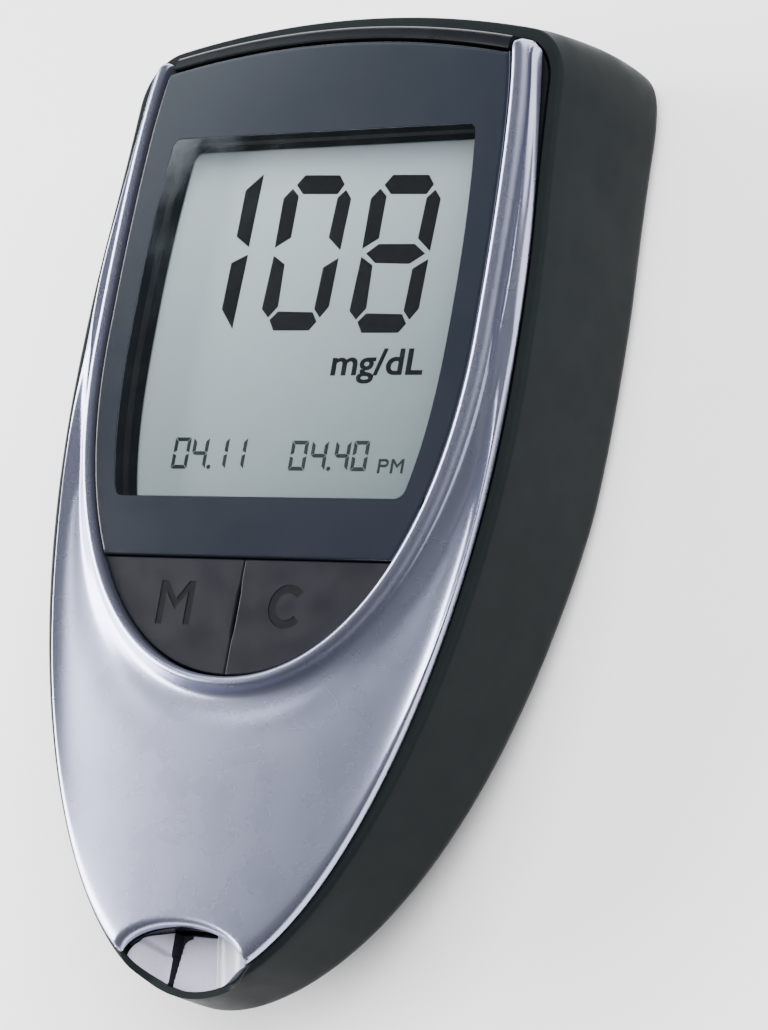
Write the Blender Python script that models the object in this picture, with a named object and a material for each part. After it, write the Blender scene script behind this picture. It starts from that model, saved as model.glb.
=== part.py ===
"""Hand-held blood glucose meter, modelled piece by piece.

Frame: metres, +Z out of the front face, +Y toward the display end,
+X to the right of the display. The flat back lies on z = 0 and the origin is
under the middle of the whole body. Dimensions below are millimetres, measured
from the middle of the front rim, which lies SHIFT_Y from that origin.
"""
import bpy
import bmesh
from math import asin, cos, hypot, pi, radians, sin, sqrt

MM = 0.001

# ---------------------------------------------------------------- overall
HALF_LENGTH = 50.0      # the front rim reaches y = +50 and y = -50
SHIFT_Y = -0.95         # middle of the front rim, seen from the origin
RIM_Z = 18.5            # front rim of the rear housing above the flat back
LENS_Z = 20.85          # face of the display lens
BEAD_Z = 21.35          # crest of the raised bead round the lens
GAP = 0.3               # clearance between neighbouring pieces

# ---------------------------------------------------------------- rear housing
WALL = 1.4              # side wall
FLOOR = 1.5             # back wall
BACK_EDGE_R = 2.1       # rounding between side wall and back
BACK_FLAT_Y = 4.0       # the back is flat above this station
BACK_SLOPE = 6.0        # rise of the back toward the tip, as a straight part
BACK_CURL = 3.4         # and a part that curls up at the tip

# below the rim the wall swells out to a belt, just above the back edge
BELT_TOP = 2.08         # how far the belt stands out at the display end
BELT_SIDE = 1.6         # and at the sides near that end
BELT_TIP = 0.16         # and round the tip
BELT_POWER = 1.9

# outline of the rim, half a turn from the top centre to the tip
RIM_TOP_R = 95.0
RIM_ARC_X = 21.2
RIM_SIDE = (25.42, 41.6)
RIM_WIDE = (26.82, 11.7)
RIM_HANDLES = (0.045, 15.0, 14.5, 35.0, 13.0)

# outline of the silver frame's outer edge
FRAME_TOP = (22.9, 44.8)
FRAME_WIDE = (25.45, 11.4)
FRAME_BOTTOM_Y = -49.35
FRAME_HANDLES = (0.13, 17.5, 12.9, 33.5, 13.1)

# outline of the lens and keys, which is the frame's inner edge
LENS_TOP_Y = 46.4
LENS_TOP_R = 92.0
LENS_ARC_X = 19.9
LENS_SIDE = (20.5, 44.2)
LENS_WIDE = (21.92, 15.8)
LENS_BOTTOM_Y = -19.4
LENS_HANDLES = (0.24, 6.8, 2.0, 21.4, 13.0)

KEY_LINE_Y = -7.65      # lower edge of the lens, upper edge of the keys
KEY_TOP_Z = 20.45
KEY_TRAVEL = 0.6
KEY_SPLIT = 0.2         # half of the slit between the two keys

# ---------------------------------------------------------------- display
WINDOW_Y = (-1.5, 36.7)
WINDOW_W = 18.9         # half width of the window at its widest station
WINDOW_WIDE_Y = 20.0
WINDOW_TAPER = (0.75, 1.6)  # how much narrower it is toward the top and the bottom
GLASS_X = 20.4
GLASS_Y = (-3.6, 38.2)
PLATE_Z = (16.9, 18.3)  # deck of the front chassis
BOARD_Z = (10.4, 12.0)

# ---------------------------------------------------------------- strip port
SCOOP_W = 7.1
SCOOP_TOP_Y = -43.6
SCOOP_Z = 15.0
DIP_X = (4.5, 7.7)      # the rim is lowest inside the first, level outside the second
DIP_Z = 16.9
LIP = 0.45              # rim left standing in front of the port

# ---------------------------------------------------------------- battery
CELL_R = 10.0
CELL_H = 3.2
CELL_POS = (0.0, 26.0)
CELL_Z = 2.3
DOOR_X = 13.0
DOOR_Y = 14.1
DOOR_T = 1.5
DOOR_TRAVEL = 8.0
TONGUE_X = (10.3, 12.7) # the two tongues that hold the door's lower edge

CASE_SCREWS = ((-19.5, 43.3), (19.5, 43.3), (-14.0, -24.0), (14.0, -24.0))
BOARD_SCREWS = ((-9.0, -30.0), (9.0, -30.0))

for leftover in list(bpy.data.objects):
    bpy.data.objects.remove(leftover, do_unlink=True)


# ================================================================ helpers
def material(name, colour, roughness, metallic=0.0):
    mat = bpy.data.materials.new(name)
    mat.use_nodes = True
    shader = mat.node_tree.nodes["Principled BSDF"]
    shader.inputs["Base Color"].default_value = (*colour, 1.0)
    shader.inputs["Roughness"].default_value = roughness
    shader.inputs["Metallic"].default_value = metallic
    mat.diffuse_color = (*colour, 1.0)
    return mat


MAT = {
    "housing": material("charcoal_housing", (0.042, 0.052, 0.055), 0.42),
    "frame": material("silver_paint", (0.50, 0.51, 0.58), 0.33, 0.55),
    "lens": material("smoked_lens", (0.050, 0.060, 0.080), 0.12),
    "glass": material("lcd_glass", (0.42, 0.50, 0.49), 0.18),
    "film": material("lcd_film", (0.62, 0.66, 0.64), 0.5),
    "tape": material("black_tape", (0.02, 0.02, 0.022), 0.7),
    "key": material("key_plastic", (0.055, 0.062, 0.082), 0.40),
    "rubber": material("grey_rubber", (0.20, 0.20, 0.21), 0.75),
    "zebra": material("zebra_rubber", (0.30, 0.16, 0.20), 0.7),
    "board": material("green_board", (0.02, 0.16, 0.07), 0.45),
    "chip": material("black_epoxy", (0.018, 0.018, 0.020), 0.5),
    "steel": material("bright_steel", (0.62, 0.62, 0.63), 0.28, 1.0),
    "gold": material("gold_plate", (0.83, 0.62, 0.25), 0.3, 1.0),
    "port": material("pale_port_plastic", (0.60, 0.60, 0.66), 0.38),
    "ivory": material("ivory_plastic", (0.62, 0.60, 0.54), 0.45),
    "ceramic": material("brown_ceramic", (0.36, 0.24, 0.14), 0.5),
    "label": material("label_film", (0.56, 0.57, 0.59), 0.5),
}


def new_mesh(name, bm, mat, origin=(0.0, 0.0, 0.0), smooth=32.0):
    """Close the bmesh (in mm) into an object whose origin lies at origin (mm)."""
    bmesh.ops.remove_doubles(bm, verts=bm.verts, dist=0.0005)
    bmesh.ops.recalc_face_normals(bm, faces=bm.faces)
    ox, oy, oz = origin
    for v in bm.verts:
        v.co = ((v.co.x - ox) * MM, (v.co.y - oy) * MM, (v.co.z - oz) * MM)
    mesh = bpy.data.meshes.new(name)
    bm.to_mesh(mesh)
    bm.free()
    if smooth:
        mesh.shade_smooth()
        mesh.set_sharp_from_angle(angle=radians(smooth))
    obj = bpy.data.objects.new(name, mesh)
    obj.location = (ox * MM, (oy + SHIFT_Y) * MM, oz * MM)
    bpy.context.scene.collection.objects.link(obj)
    if mat is not None:
        mesh.materials.append(MAT[mat])
    return obj


def bezier(p0, p1, p2, p3, n):
    out = []
    for k in range(1, n + 1):
        t = k / n
        u = 1.0 - t
        out.append(tuple(u ** 3 * a + 3 * u * u * t * b + 3 * u * t * t * c + t ** 3 * d
                         for a, b, c, d in zip(p0, p1, p2, p3)))
    return out


def side_curve(start, wide, bottom_y, handles, n1, n2):
    """Side of an outline from start, through its widest point, to the tip."""
    slope, h0, up, down, end = handles
    p1 = (start[0] + slope * h0, start[1] - h0)
    upper = bezier(start, p1, (wide[0], wide[1] + up), wide, n1)
    lower = bezier(wide, (wide[0], wide[1] - down), (end, bottom_y), (0.0, bottom_y), n2)
    return [start] + upper + lower


def belt_out(y):
    """How far the belt stands outside the rim at a station."""
    return BELT_TIP + (BELT_SIDE - BELT_TIP) * (max(0.0, y + 12.0) / 54.0) ** 1.6


def rim_half(belt=False):
    """Half outline of the rim, or of the belt below it."""
    pts = []
    top_y = HALF_LENGTH + (BELT_TOP if belt else 0.0)
    for k in range(0, 6):
        a = asin(RIM_ARC_X / RIM_TOP_R) * k / 5
        pts.append((RIM_TOP_R * sin(a), top_y - RIM_TOP_R * (1 - cos(a))))
    p = pts[-1]
    out = belt_out(RIM_SIDE[1]) if belt else 0.0
    side = (RIM_SIDE[0] + out, RIM_SIDE[1])
    corner = (25.25 + out, 49.94 if belt else 46.62)
    k = 0.815 if belt else 0.6
    c1 = (p[0] + k * (corner[0] - p[0]), p[1] + k * (corner[1] - p[1]))
    c2 = (side[0] + k * (corner[0] - side[0]), side[1] + k * (corner[1] - side[1]))
    pts += bezier(p, c1, c2, side, 6)
    run = side_curve(RIM_SIDE, RIM_WIDE, -HALF_LENGTH, RIM_HANDLES, 6, 16)
    n = len(run)
    for i in range(1, n):
        x, y = run[i]
        if belt:
            ax, ay = run[i - 1]
            bx, by = run[min(n - 1, i + 1)]
            length = hypot(bx - ax, by - ay)
            nx, ny = (-(by - ay) / length, (bx - ax) / length) if i < n - 1 else (0.0, -1.0)
            x, y = max(0.0, x + nx * belt_out(y)), y + ny * belt_out(y)
        pts.append((x, y))
    return pts


def lens_half():
    pts = []
    for k in range(0, 6):
        a = asin(LENS_ARC_X / LENS_TOP_R) * k / 5
        pts.append((LENS_TOP_R * sin(a), LENS_TOP_Y - LENS_TOP_R * (1 - cos(a))))
    p = pts[-1]
    pts += bezier(p, (20.2, p[1] - 0.07), (20.45, 44.5), LENS_SIDE, 2)
    pts += side_curve(LENS_SIDE, LENS_WIDE, LENS_BOTTOM_Y, LENS_HANDLES, 8, 14)[1:]
    return pts


def offset_half(pts, d):
    """Move a half outline inward by d along its plan normal."""
    n = len(pts)
    out = []
    for i, (x, y) in enumerate(pts):
        if i == 0:
            out.append((x, y - d))
            continue
        if i == n - 1:
            out.append((x, y + d))
            continue
        ax, ay = pts[i - 1]
        bx, by = pts[i + 1]
        tx, ty = bx - ax, by - ay
        length = hypot(tx, ty)
        out.append((max(0.0, x + d * ty / length), y - d * tx / length))
    return out


def full(pts):
    """Close a half outline into a loop; point i and point n - i share a height."""
    return pts + [(-x, y) for x, y in reversed(pts[1:-1])]


def clip(poly, axis, limit, keep_above):
    """Cut a polygon with a line x = limit or y = limit."""
    sign = 1.0 if keep_above else -1.0
    out = []
    for i, p in enumerate(poly):
        q = poly[(i + 1) % len(poly)]
        dp = sign * (p[axis] - limit)
        dq = sign * (q[axis] - limit)
        if dp >= 0:
            out.append(p)
        if (dp > 0 and dq < 0) or (dp < 0 and dq > 0):
            t = dp / (dp - dq)
            out.append((p[0] + t * (q[0] - p[0]), p[1] + t * (q[1] - p[1])))
    clean = []
    for p in out:
        if not clean or hypot(p[0] - clean[-1][0], p[1] - clean[-1][1]) > 0.02:
            clean.append(p)
    if hypot(clean[0][0] - clean[-1][0], clean[0][1] - clean[-1][1]) < 0.02:
        clean.pop()
    return clean


def back_z(y):
    """Height of the back over the plane it rests on."""
    u = (BACK_FLAT_Y - y) / (BACK_FLAT_Y + HALF_LENGTH)
    if u <= 0.0:
        return 0.0
    return BACK_SLOPE * (hypot(u, 0.06) - 0.06) + BACK_CURL * u ** 5


def bridge(bm, a, b):
    n = len(a)
    for i in range(n):
        j = (i + 1) % n
        bm.faces.new((a[i], a[j], b[j], b[i]))


def ladder(bm, loop):
    """Cap a mirrored loop with rungs from side to side."""
    n = len(loop)
    h = n // 2
    bm.faces.new((loop[0], loop[1], loop[n - 1]))
    for i in range(1, h - 1):
        bm.faces.new((loop[i], loop[i + 1], loop[n - i - 1], loop[n - i]))
    bm.faces.new((loop[h - 1], loop[h], loop[h + 1]))


def loft(levels):
    """Skin mirrored loops of (x, y, z) and cap the first and last."""
    bm = bmesh.new()
    loops = [[bm.verts.new(p) for p in level] for level in levels]
    ladder(bm, loops[0])
    for a, b in zip(loops, loops[1:]):
        bridge(bm, a, b)
    ladder(bm, loops[-1])
    return bm


def prism(poly, z0, z1, chamfer=0.0, bm=None):
    """Extrude a plan polygon, with an optional chamfer round the upper edge."""
    bm = bm or bmesh.new()
    rings = [(0.0, z0), (0.0, z1 - chamfer)]
    if chamfer:
        rings.append((chamfer, z1))
    n = len(poly)
    loops = []
    for inset, z in rings:
        loop = []
        for i, (x, y) in enumerate(poly):
            ax, ay = poly[i - 1]
            bx, by = poly[(i + 1) % n]
            ux, uy = x - ax, y - ay
            vx, vy = bx - x, by - y
            lu, lv = hypot(ux, uy), hypot(vx, vy)
            nx, ny = -(uy / lu + vy / lv), ux / lu + vx / lv
            ln = nx * nx + ny * ny
            area = AREA_SIGN(poly)
            s = 2.0 * inset * area / max(ln, 0.4)
            loop.append(bm.verts.new((x + nx * s, y + ny * s, z)))
        loops.append(loop)
    bm.faces.new(loops[0])
    for a, b in zip(loops, loops[1:]):
        bridge(bm, a, b)
    bm.faces.new(loops[-1])
    return bm


def AREA_SIGN(poly):
    a = 0.0
    for i, (x, y) in enumerate(poly):
        u, v = poly[(i + 1) % len(poly)]
        a += x * v - u * y
    return 1.0 if a > 0 else -1.0


def box_bm(x0, x1, y0, y1, z0, z1, bm=None):
    return prism([(x0, y0), (x1, y0), (x1, y1), (x0, y1)], z0, z1, bm=bm)


def box(name, x0, x1, y0, y1, z0, z1, mat, origin=None):
    org = origin if origin else ((x0 + x1) / 2, (y0 + y1) / 2, (z0 + z1) / 2)
    return new_mesh(name, box_bm(x0, x1, y0, y1, z0, z1), mat, org, smooth=None)


def turned(profile, centre, n=24):
    """Body turned about a vertical axis; profile is (radius, z) from axis to axis."""
    bm = bmesh.new()
    cx, cy = centre
    rings = []
    for r, z in profile:
        if r == 0:
            rings.append([bm.verts.new((cx, cy, z))])
        else:
            rings.append([bm.verts.new((cx + r * cos(2 * pi * k / n), cy + r * sin(2 * pi * k / n), z))
                          for k in range(n)])
    for a, b in zip(rings, rings[1:]):
        if len(a) == 1:
            for k in range(n):
                bm.faces.new((a[0], b[k], b[(k + 1) % n]))
        elif len(b) == 1:
            for k in range(n):
                bm.faces.new((a[k], a[(k + 1) % n], b[0]))
        else:
            bridge(bm, a, b)
    return bm


def post(cx, cy, r, z0, z1, n=24):
    return turned([(0, z0), (r, z0), (r, z1), (0, z1)], (cx, cy), n)


def section_x(profile, x0, x1):
    """Extrude a (y, z) polygon along x."""
    bm = bmesh.new()
    a = [bm.verts.new((x0, y, z)) for y, z in profile]
    b = [bm.verts.new((x1, y, z)) for y, z in profile]
    bm.faces.new(a)
    bridge(bm, a, b)
    bm.faces.new(b)
    return bm


def section_y(profile, y0, y1):
    """Extrude an (x, z) polygon along y."""
    bm = bmesh.new()
    a = [bm.verts.new((x, y0, z)) for x, z in profile]
    b = [bm.verts.new((x, y1, z)) for x, z in profile]
    bm.faces.new(a)
    bridge(bm, a, b)
    bm.faces.new(b)
    return bm


tool_count = 0


def combine(obj, bm, operation="DIFFERENCE"):
    """Cut obj with a tool body, or join the tool body to it."""
    global tool_count
    tool_count += 1
    tool = new_mesh("tool_%02d" % tool_count, bm, None, smooth=None)
    tool.hide_render = True
    tool.display_type = "WIRE"
    mod = obj.modifiers.new(operation.lower() + str(tool_count), "BOOLEAN")
    mod.operation = operation
    mod.solver = "EXACT"
    mod.object = tool
    return obj


def scoop_tool(z0, grow=0.0):
    """Arch-shaped recess that opens at the tip."""
    pts = []
    w = SCOOP_W + grow
    depth = -46.9 - SCOOP_TOP_Y
    for k in range(0, 17):
        a = pi * k / 16
        pts.append((w * cos(a), SCOOP_TOP_Y + depth + (-depth + grow) * sin(a)))
    pts.append((-w, -56.0))
    pts.append((w, -56.0))
    return prism(pts, z0, 26.0)


def dip_z(x):
    """Height of the rim where it dips under the strip port."""
    t = min(1.0, max(0.0, (abs(x) - DIP_X[0]) / (DIP_X[1] - DIP_X[0])))
    return DIP_Z + (RIM_Z + 0.02 - DIP_Z) * t * t * (3 - 2 * t)


def dip_tool(lift=0.0):
    """Everything above the dipped rim, across the tip."""
    xs = [-DIP_X[1] + 2 * DIP_X[1] * k / 28 for k in range(29)]
    profile = [(x, dip_z(x) + lift) for x in xs]
    profile += [(DIP_X[1], 26.0), (-DIP_X[1], 26.0)]
    return section_y(profile, -56.0, -44.0)


RIM = rim_half()
BELT = rim_half(belt=True)
LENS = lens_half()


# ================================================================ rear housing
def shell_levels(solid=False):
    """Loops up the outside of the shell and, unless solid, down its inside."""
    def level(inset, height, absolute=False, outline=BELT):
        return [(x, y, height if absolute else back_z(y) + height)
                for x, y in full(offset_half(outline, inset))]

    r = BACK_EDGE_R
    outside = [level(0.0, RIM_Z, True, RIM) if solid else level(0.3, RIM_Z, True, RIM)]
    if not solid:
        outside.append(level(0.0, RIM_Z - 0.3, True, RIM))
    for s in (0.3, 0.65, 1.0):
        k = 1.0 - (1.0 - s) ** BELT_POWER
        loop = []
        for (ax, ay), (bx, by) in zip(full(RIM), full(BELT)):
            x, y = ax + k * (bx - ax), ay + k * (by - ay)
            loop.append((x, y, RIM_Z + s * (back_z(y) + r - RIM_Z)))
        outside.append(loop)
    for deg in (30, 60, 90):
        outside.append(level(r * (1 - cos(radians(deg))), r * (1 - sin(radians(deg)))))
    if solid:
        return outside

    def inner(inset, height, follow, absolute=False):
        """Loop inside the wall, which follows the belt outward by a share of its swell."""
        rim, belt = full(RIM), full(BELT)
        out = []
        for (x, y), (ax, ay), (bx, by) in zip(full(offset_half(RIM, inset)), rim, belt):
            x, y = x + follow * (bx - ax), y + follow * (by - ay)
            out.append((x, y, height if absolute else back_z(y) + height))
        return out

    inside = [inner(WALL, RIM_Z, 0.0, True), inner(WALL, FLOOR + 1.7, 0.5), inner(WALL + 0.45, FLOOR + 0.5, 0.5),
              inner(WALL + 1.2, FLOOR, 0.2)]
    return list(reversed(outside)) + inside


rear = new_mesh("rear_housing", loft(shell_levels()), "housing")
# battery tray: a low deck under the door and a block round the cell
combine(rear, box_bm(-15.3, 15.3, 10.4, 49.4, 0.6, 3.3), "UNION")
combine(rear, box_bm(-14.2, 14.2, 13.0, 39.0, 2.0, 8.0), "UNION")
for sx, sy in CASE_SCREWS:
    combine(rear, post(sx, sy, 2.6, back_z(sy) + 0.7, BOARD_Z[1] - 0.05), "UNION")
# recess of the door, the cell's bay, and the pockets of the door's tongues
combine(rear, box_bm(-DOOR_X - GAP, DOOR_X + GAP, DOOR_Y - GAP, 56.0, -2.0, DOOR_T + GAP))
combine(rear, post(*CELL_POS, CELL_R + 0.7, -1.0, 6.8, 40))
for s in (-1, 1):
    a, b = sorted((s * TONGUE_X[0] - s * GAP, s * TONGUE_X[1] + s * GAP))
    combine(rear, box_bm(a, b, 11.6, 14.95 + DOOR_TRAVEL + 0.5, 1.5, 2.9))
combine(rear, box_bm(10.4, 11.9, 24.0, 28.0, 1.6, 9.0))
combine(rear, box_bm(-8.5, -7.1, 24.0, 28.0, 5.0, 9.0))
combine(rear, box_bm(-15.3, 15.3, 2.8, 11.0, -1.0, 0.55))
combine(rear, dip_tool())
# rebate behind the lip, in which the port insert sits
rebate = clip(full(offset_half(RIM, LIP)), 1, -44.0, False)
rebate = clip(clip(rebate, 0, SCOOP_W + 0.05, False), 0, -SCOOP_W - 0.05, True)
combine(rear, prism(rebate, SCOOP_Z, 26.0))
SEATS = []
for sx, sy in CASE_SCREWS:
    seat = 4.6 if sy > 0 else 6.6
    SEATS.append(seat)
    combine(rear, turned([(0, -2.0), (2.05, -2.0), (2.05, seat), (1.3, seat), (1.3, 14.0), (0, 14.0)], (sx, sy)))


# ================================================================ battery door
def grown(d):
    return [(x, y) for x, y in full(offset_half(RIM, d))]


door = new_mesh("battery_door", box_bm(-DOOR_X, DOOR_X, DOOR_Y, 56.0, -1.0, DOOR_T), "housing",
                (0.0, 32.0, 0.75), smooth=32)
combine(door, loft(shell_levels(solid=True)), "INTERSECT")
for s in (-1, 1):
    a, b = sorted((s * TONGUE_X[0], s * TONGUE_X[1]))
    combine(door, section_x([(14.25, 1.0), (14.95, 1.0), (14.95, 2.6), (12.2, 2.6), (12.2, 1.8), (14.25, 1.8)],
                            a, b), "UNION")
# three shallow grip grooves
for k in range(3):
    y = 19.0 + 2.4 * k
    combine(door, box_bm(-6.0, 6.0, y - 0.5, y + 0.5, -1.0, 0.45))

# ================================================================ front chassis
deck_levels = []
for inset, z in ((WALL + GAP, 14.5), (WALL + GAP, PLATE_Z[1])):
    deck_levels.append([(x, y, z) for x, y in grown(inset)])
under = [[(x, y, z) for x, y in grown(WALL + GAP + 1.0)] for z in (14.5, PLATE_Z[0])]
chassis = new_mesh("front_chassis", loft(list(reversed(deck_levels)) + under), "housing")


def band():
    """Raised bar between the lens and the rim at the display end."""
    bm = bmesh.new()
    rings = []
    n = 16
    for k in range(n + 1):
        x = -20.0 + 40.0 * k / n
        lower = LENS_TOP_Y - LENS_TOP_R + sqrt(LENS_TOP_R ** 2 - x * x) + 0.3
        upper = HALF_LENGTH - WALL - GAP - RIM_TOP_R + sqrt(RIM_TOP_R ** 2 - x * x)
        rings.append([bm.verts.new((x, y, z)) for y, z in
                      ((lower, 17.6), (lower, 20.5), (lower + 0.3, 20.7), (upper - 0.55, 20.5),
                       (upper, 19.9), (upper, 17.6))])
    bm.faces.new(rings[0])
    for a, b in zip(rings, rings[1:]):
        bridge(bm, a, b)
    bm.faces.new(rings[-1])
    return bm


combine(chassis, band(), "UNION")
for sx, sy in CASE_SCREWS:
    combine(chassis, post(sx, sy, 2.4, BOARD_Z[1] + 0.3, PLATE_Z[0] + 0.4), "UNION")
for sx, sy in BOARD_SCREWS:
    combine(chassis, post(sx, sy, 2.0, BOARD_Z[1] + 0.3, PLATE_Z[0] + 0.4), "UNION")


def window_poly(grow=0.0):
    y0, y1 = WINDOW_Y[0] - grow, WINDOW_Y[1] + grow
    right = []
    for k in range(13):
        y = y0 + (y1 - y0) * k / 12
        u = y - WINDOW_WIDE_Y
        narrow = WINDOW_TAPER[0] * (u / 15.0) ** 2 if u > 0 else WINDOW_TAPER[1] * (-u / 20.0) ** 3
        right.append((WINDOW_W - narrow + grow, y))
    return right + [(-x, y) for x, y in reversed(right)]


combine(chassis, prism(window_poly(), 12.0, 24.0))
keyhole = clip(full(offset_half(LENS, -0.15)), 1, KEY_LINE_Y + 0.15, False)
combine(chassis, prism(keyhole, 12.0, 24.0))
combine(chassis, box_bm(-5.4, 5.4, -43.2, -32.4, 12.0, 24.0))
combine(chassis, scoop_tool(PLATE_Z[0] - 0.3))
combine(chassis, scoop_tool(SCOOP_Z - 0.6, -0.3))
for sx, sy in CASE_SCREWS:
    combine(chassis, post(sx, sy, 1.3, 11.0, 16.4, 20))
for sx, sy in BOARD_SCREWS:
    combine(chassis, post(sx, sy, 1.1, 11.0, 16.2, 20))


# ================================================================ silver front frame
def frame_body():
    """Sweep the frame's section from one top corner, round the tip, to the other."""
    n1, n2 = 9, 16
    inner = side_curve((20.42, 45.3), LENS_WIDE, LENS_BOTTOM_Y, (0.24, 7.5, 2.0, 21.4, 13.0), n1, n2)
    outer = side_curve(FRAME_TOP, FRAME_WIDE, FRAME_BOTTOM_Y, FRAME_HANDLES, n1, n2)
    stations = []
    n = len(inner)
    for i in range(n):
        ax, ay = inner[max(0, i - 1)]
        bx, by = inner[min(n - 1, i + 1)]
        if i == n - 1:
            nx, ny = 0.0, -1.0
        else:
            length = hypot(bx - ax, by - ay)
            nx, ny = -(by - ay) / length, (bx - ax) / length
        px, py = inner[i]
        ox, oy = outer[i]
        reach = hypot(ox - px, oy - py)
        broad = min(1.0, max(0.0, (reach - 3.6) / 7.0))
        broad = broad * broad * (3 - 2 * broad)
        pts = [(px + nx * 0.15, py + ny * 0.15, 18.8)]
        for s, z in ((0.15, 20.95), (0.5, BEAD_Z), (1.0, BEAD_Z), (1.45, 20.8)):
            pts.append((px + nx * s, py + ny * s, z))
        vx, vy = px + nx * 1.75, py + ny * 1.75
        pts.append((vx, vy, 20.1 + 0.25 * broad))
        for f, za, zb in ((0.3, 20.55, 20.1), (0.6, 20.6, 20.35), (0.85, 20.0, 20.0), (1.0, 19.2, 19.2)):
            pts.append((vx + f * (ox - vx), vy + f * (oy - vy), za + (zb - za) * broad))
        pts.append((ox, oy, 18.8))
        stations.append(pts)
    bm = bmesh.new()
    ordered = [[(-x, y, z) for x, y, z in st] for st in stations[:-1]] + list(reversed(stations))
    rings = [[bm.verts.new(p) for p in st] for st in ordered]
    bm.faces.new(rings[0])
    for a, b in zip(rings, rings[1:]):
        bridge(bm, a, b)
    bm.faces.new(rings[-1])
    return bm


silver = new_mesh("front_frame", frame_body(), "frame", smooth=40)
combine(silver, scoop_tool(SCOOP_Z))

# ================================================================ lens and display
lens_plan = clip(full(offset_half(LENS, 0.15)), 1, KEY_LINE_Y + 0.15, True)
new_mesh("display_lens", prism(lens_plan, 19.35, LENS_Z, 0.25), "lens")
tape = new_mesh("lens_tape", prism(clip(full(offset_half(LENS, 0.7)), 1, KEY_LINE_Y + 0.7, True), 18.6, 19.05),
                "tape", smooth=None)
combine(tape, prism(window_poly(0.5), 17.0, 21.0))

new_mesh("lcd_glass", section_x([(GLASS_Y[0], 15.9), (GLASS_Y[0], 16.6), (GLASS_Y[1], 16.6), (GLASS_Y[1], 15.9),
                                 (37.5, 15.9), (37.5, 15.2), (-1.3, 15.2), (-1.3, 15.9)], -GLASS_X, GLASS_X),
         "glass", smooth=None)
box("lcd_reflector", -20.1, 20.1, -1.1, 37.3, 14.6, 14.9, "film")
holder = new_mesh("lcd_frame", box_bm(-22.0, 22.0, -5.3, 39.9, 12.3, 16.6), "ivory", smooth=None)
combine(holder, box_bm(-GLASS_X - GAP, GLASS_X + GAP, GLASS_Y[0] - GAP, GLASS_Y[1] + GAP, 11.0, 18.0))
box("zebra_strip", -17.5, 17.5, -3.5, -1.6, 12.3, 15.6, "zebra")

# ================================================================ circuit board
board_plan = clip(full(offset_half(RIM, 3.3)), 1, -38.6, True)
board = new_mesh("main_board", prism(board_plan, *BOARD_Z), "board", smooth=None)
for sx, sy in CASE_SCREWS:
    combine(board, post(sx, sy, 3.0, 9.0, 14.0))
for sx, sy in BOARD_SCREWS:
    combine(board, post(sx, sy, 1.1, 9.0, 14.0, 20))
UNDER = BOARD_Z[0] - GAP
box("controller_chip", -5.0, 5.0, -21.0, -11.0, UNDER - 1.5, UNDER, "chip")
box("memory_chip", 9.0, 14.0, -14.0, -10.0, UNDER - 1.4, UNDER, "chip")
new_mesh("buzzer", turned([(0, 7.6), (1.0, 7.6), (1.0, 8.0), (4.6, 8.0), (5.0, 8.4), (5.0, UNDER), (0, UNDER)],
                          (17.0, 2.0), 28), "chip")
# crystal can lying along x
can = bmesh.new()
ends = []
for x in (-14.0, -8.0):
    ends.append([can.verts.new((x, -13.0 + 1.05 * cos(2 * pi * k / 16), UNDER - 1.1 + 1.05 * sin(2 * pi * k / 16)))
                 for k in range(16)])
can.faces.new(ends[0])
bridge(can, ends[0], ends[1])
can.faces.new(ends[1])
new_mesh("crystal_can", can, "steel", (-11.0, -13.0, UNDER - 1.1), smooth=40)
box("capacitor_1", -17.5, -14.3, 2.0, 3.8, UNDER - 1.3, UNDER, "ceramic")
box("capacitor_2", -17.5, -14.3, -2.4, -0.6, UNDER - 1.3, UNDER, "ceramic")
box("resistor_1", -8.0, -6.0, -27.4, -26.1, UNDER - 0.6, UNDER, "chip")
box("resistor_2", -4.0, -2.0, -27.4, -26.1, UNDER - 0.6, UNDER, "chip")

# ================================================================ strip port
conn = new_mesh("strip_connector_body", box_bm(-5.0, 5.0, -42.9, -32.8, 12.3, 18.2), "ivory", smooth=None)
combine(conn, box_bm(-2.9, 2.9, -45.0, -31.0, 15.5, 17.1))
for k, x in enumerate((-1.8, 0.0, 1.8)):
    leaf = [(-41.2, 15.8), (-32.2, 15.8), (-32.2, 12.3), (-31.9, 12.3), (-31.9, 16.05), (-41.2, 16.05)]
    new_mesh("strip_contact_%d" % (k + 1), section_x(leaf, x - 0.4, x + 0.4), "gold", (x, -36.5, 15.9),
             smooth=None)


depth = -46.9 - SCOOP_TOP_Y
arch_w = SCOOP_W - GAP
arch = [(arch_w * cos(pi * k / 16), SCOOP_TOP_Y - GAP + depth - depth * sin(pi * k / 16)) for k in range(17)]
port = new_mesh("strip_port_insert", prism(arch + [(-arch_w, -53.0), (arch_w, -53.0)], SCOOP_Z + GAP, 19.0),
                "port", smooth=None)
combine(port, prism(full(offset_half(RIM, LIP + GAP)), 10.0, 24.0), "INTERSECT")
# channel of the strip and the shelves that rise from it to both sides
top = [(-8.0, 18.3), (-6.5, 18.1), (-4.6, 17.4), (-3.0, 16.8), (-2.4, 15.9),
       (2.4, 15.9), (3.0, 16.8), (4.6, 17.4), (6.5, 18.1), (8.0, 18.3)]
combine(port, section_y(top + [(8.0, 24.0), (-8.0, 24.0)], -54.0, -40.0))
combine(port, section_x([(-54.0, 16.4), (-49.0, 16.4), (-46.0, 18.2), (-40.0, 18.6), (-40.0, 25.0), (-54.0, 25.0)],
                        -9.0, 9.0))
# the deck's corners beside the connector
combine(port, box_bm(-9.0, -3.4, -44.6, -40.0, 14.0, 18.8))
combine(port, box_bm(3.4, 9.0, -44.6, -40.0, 14.0, 18.8))


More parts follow.
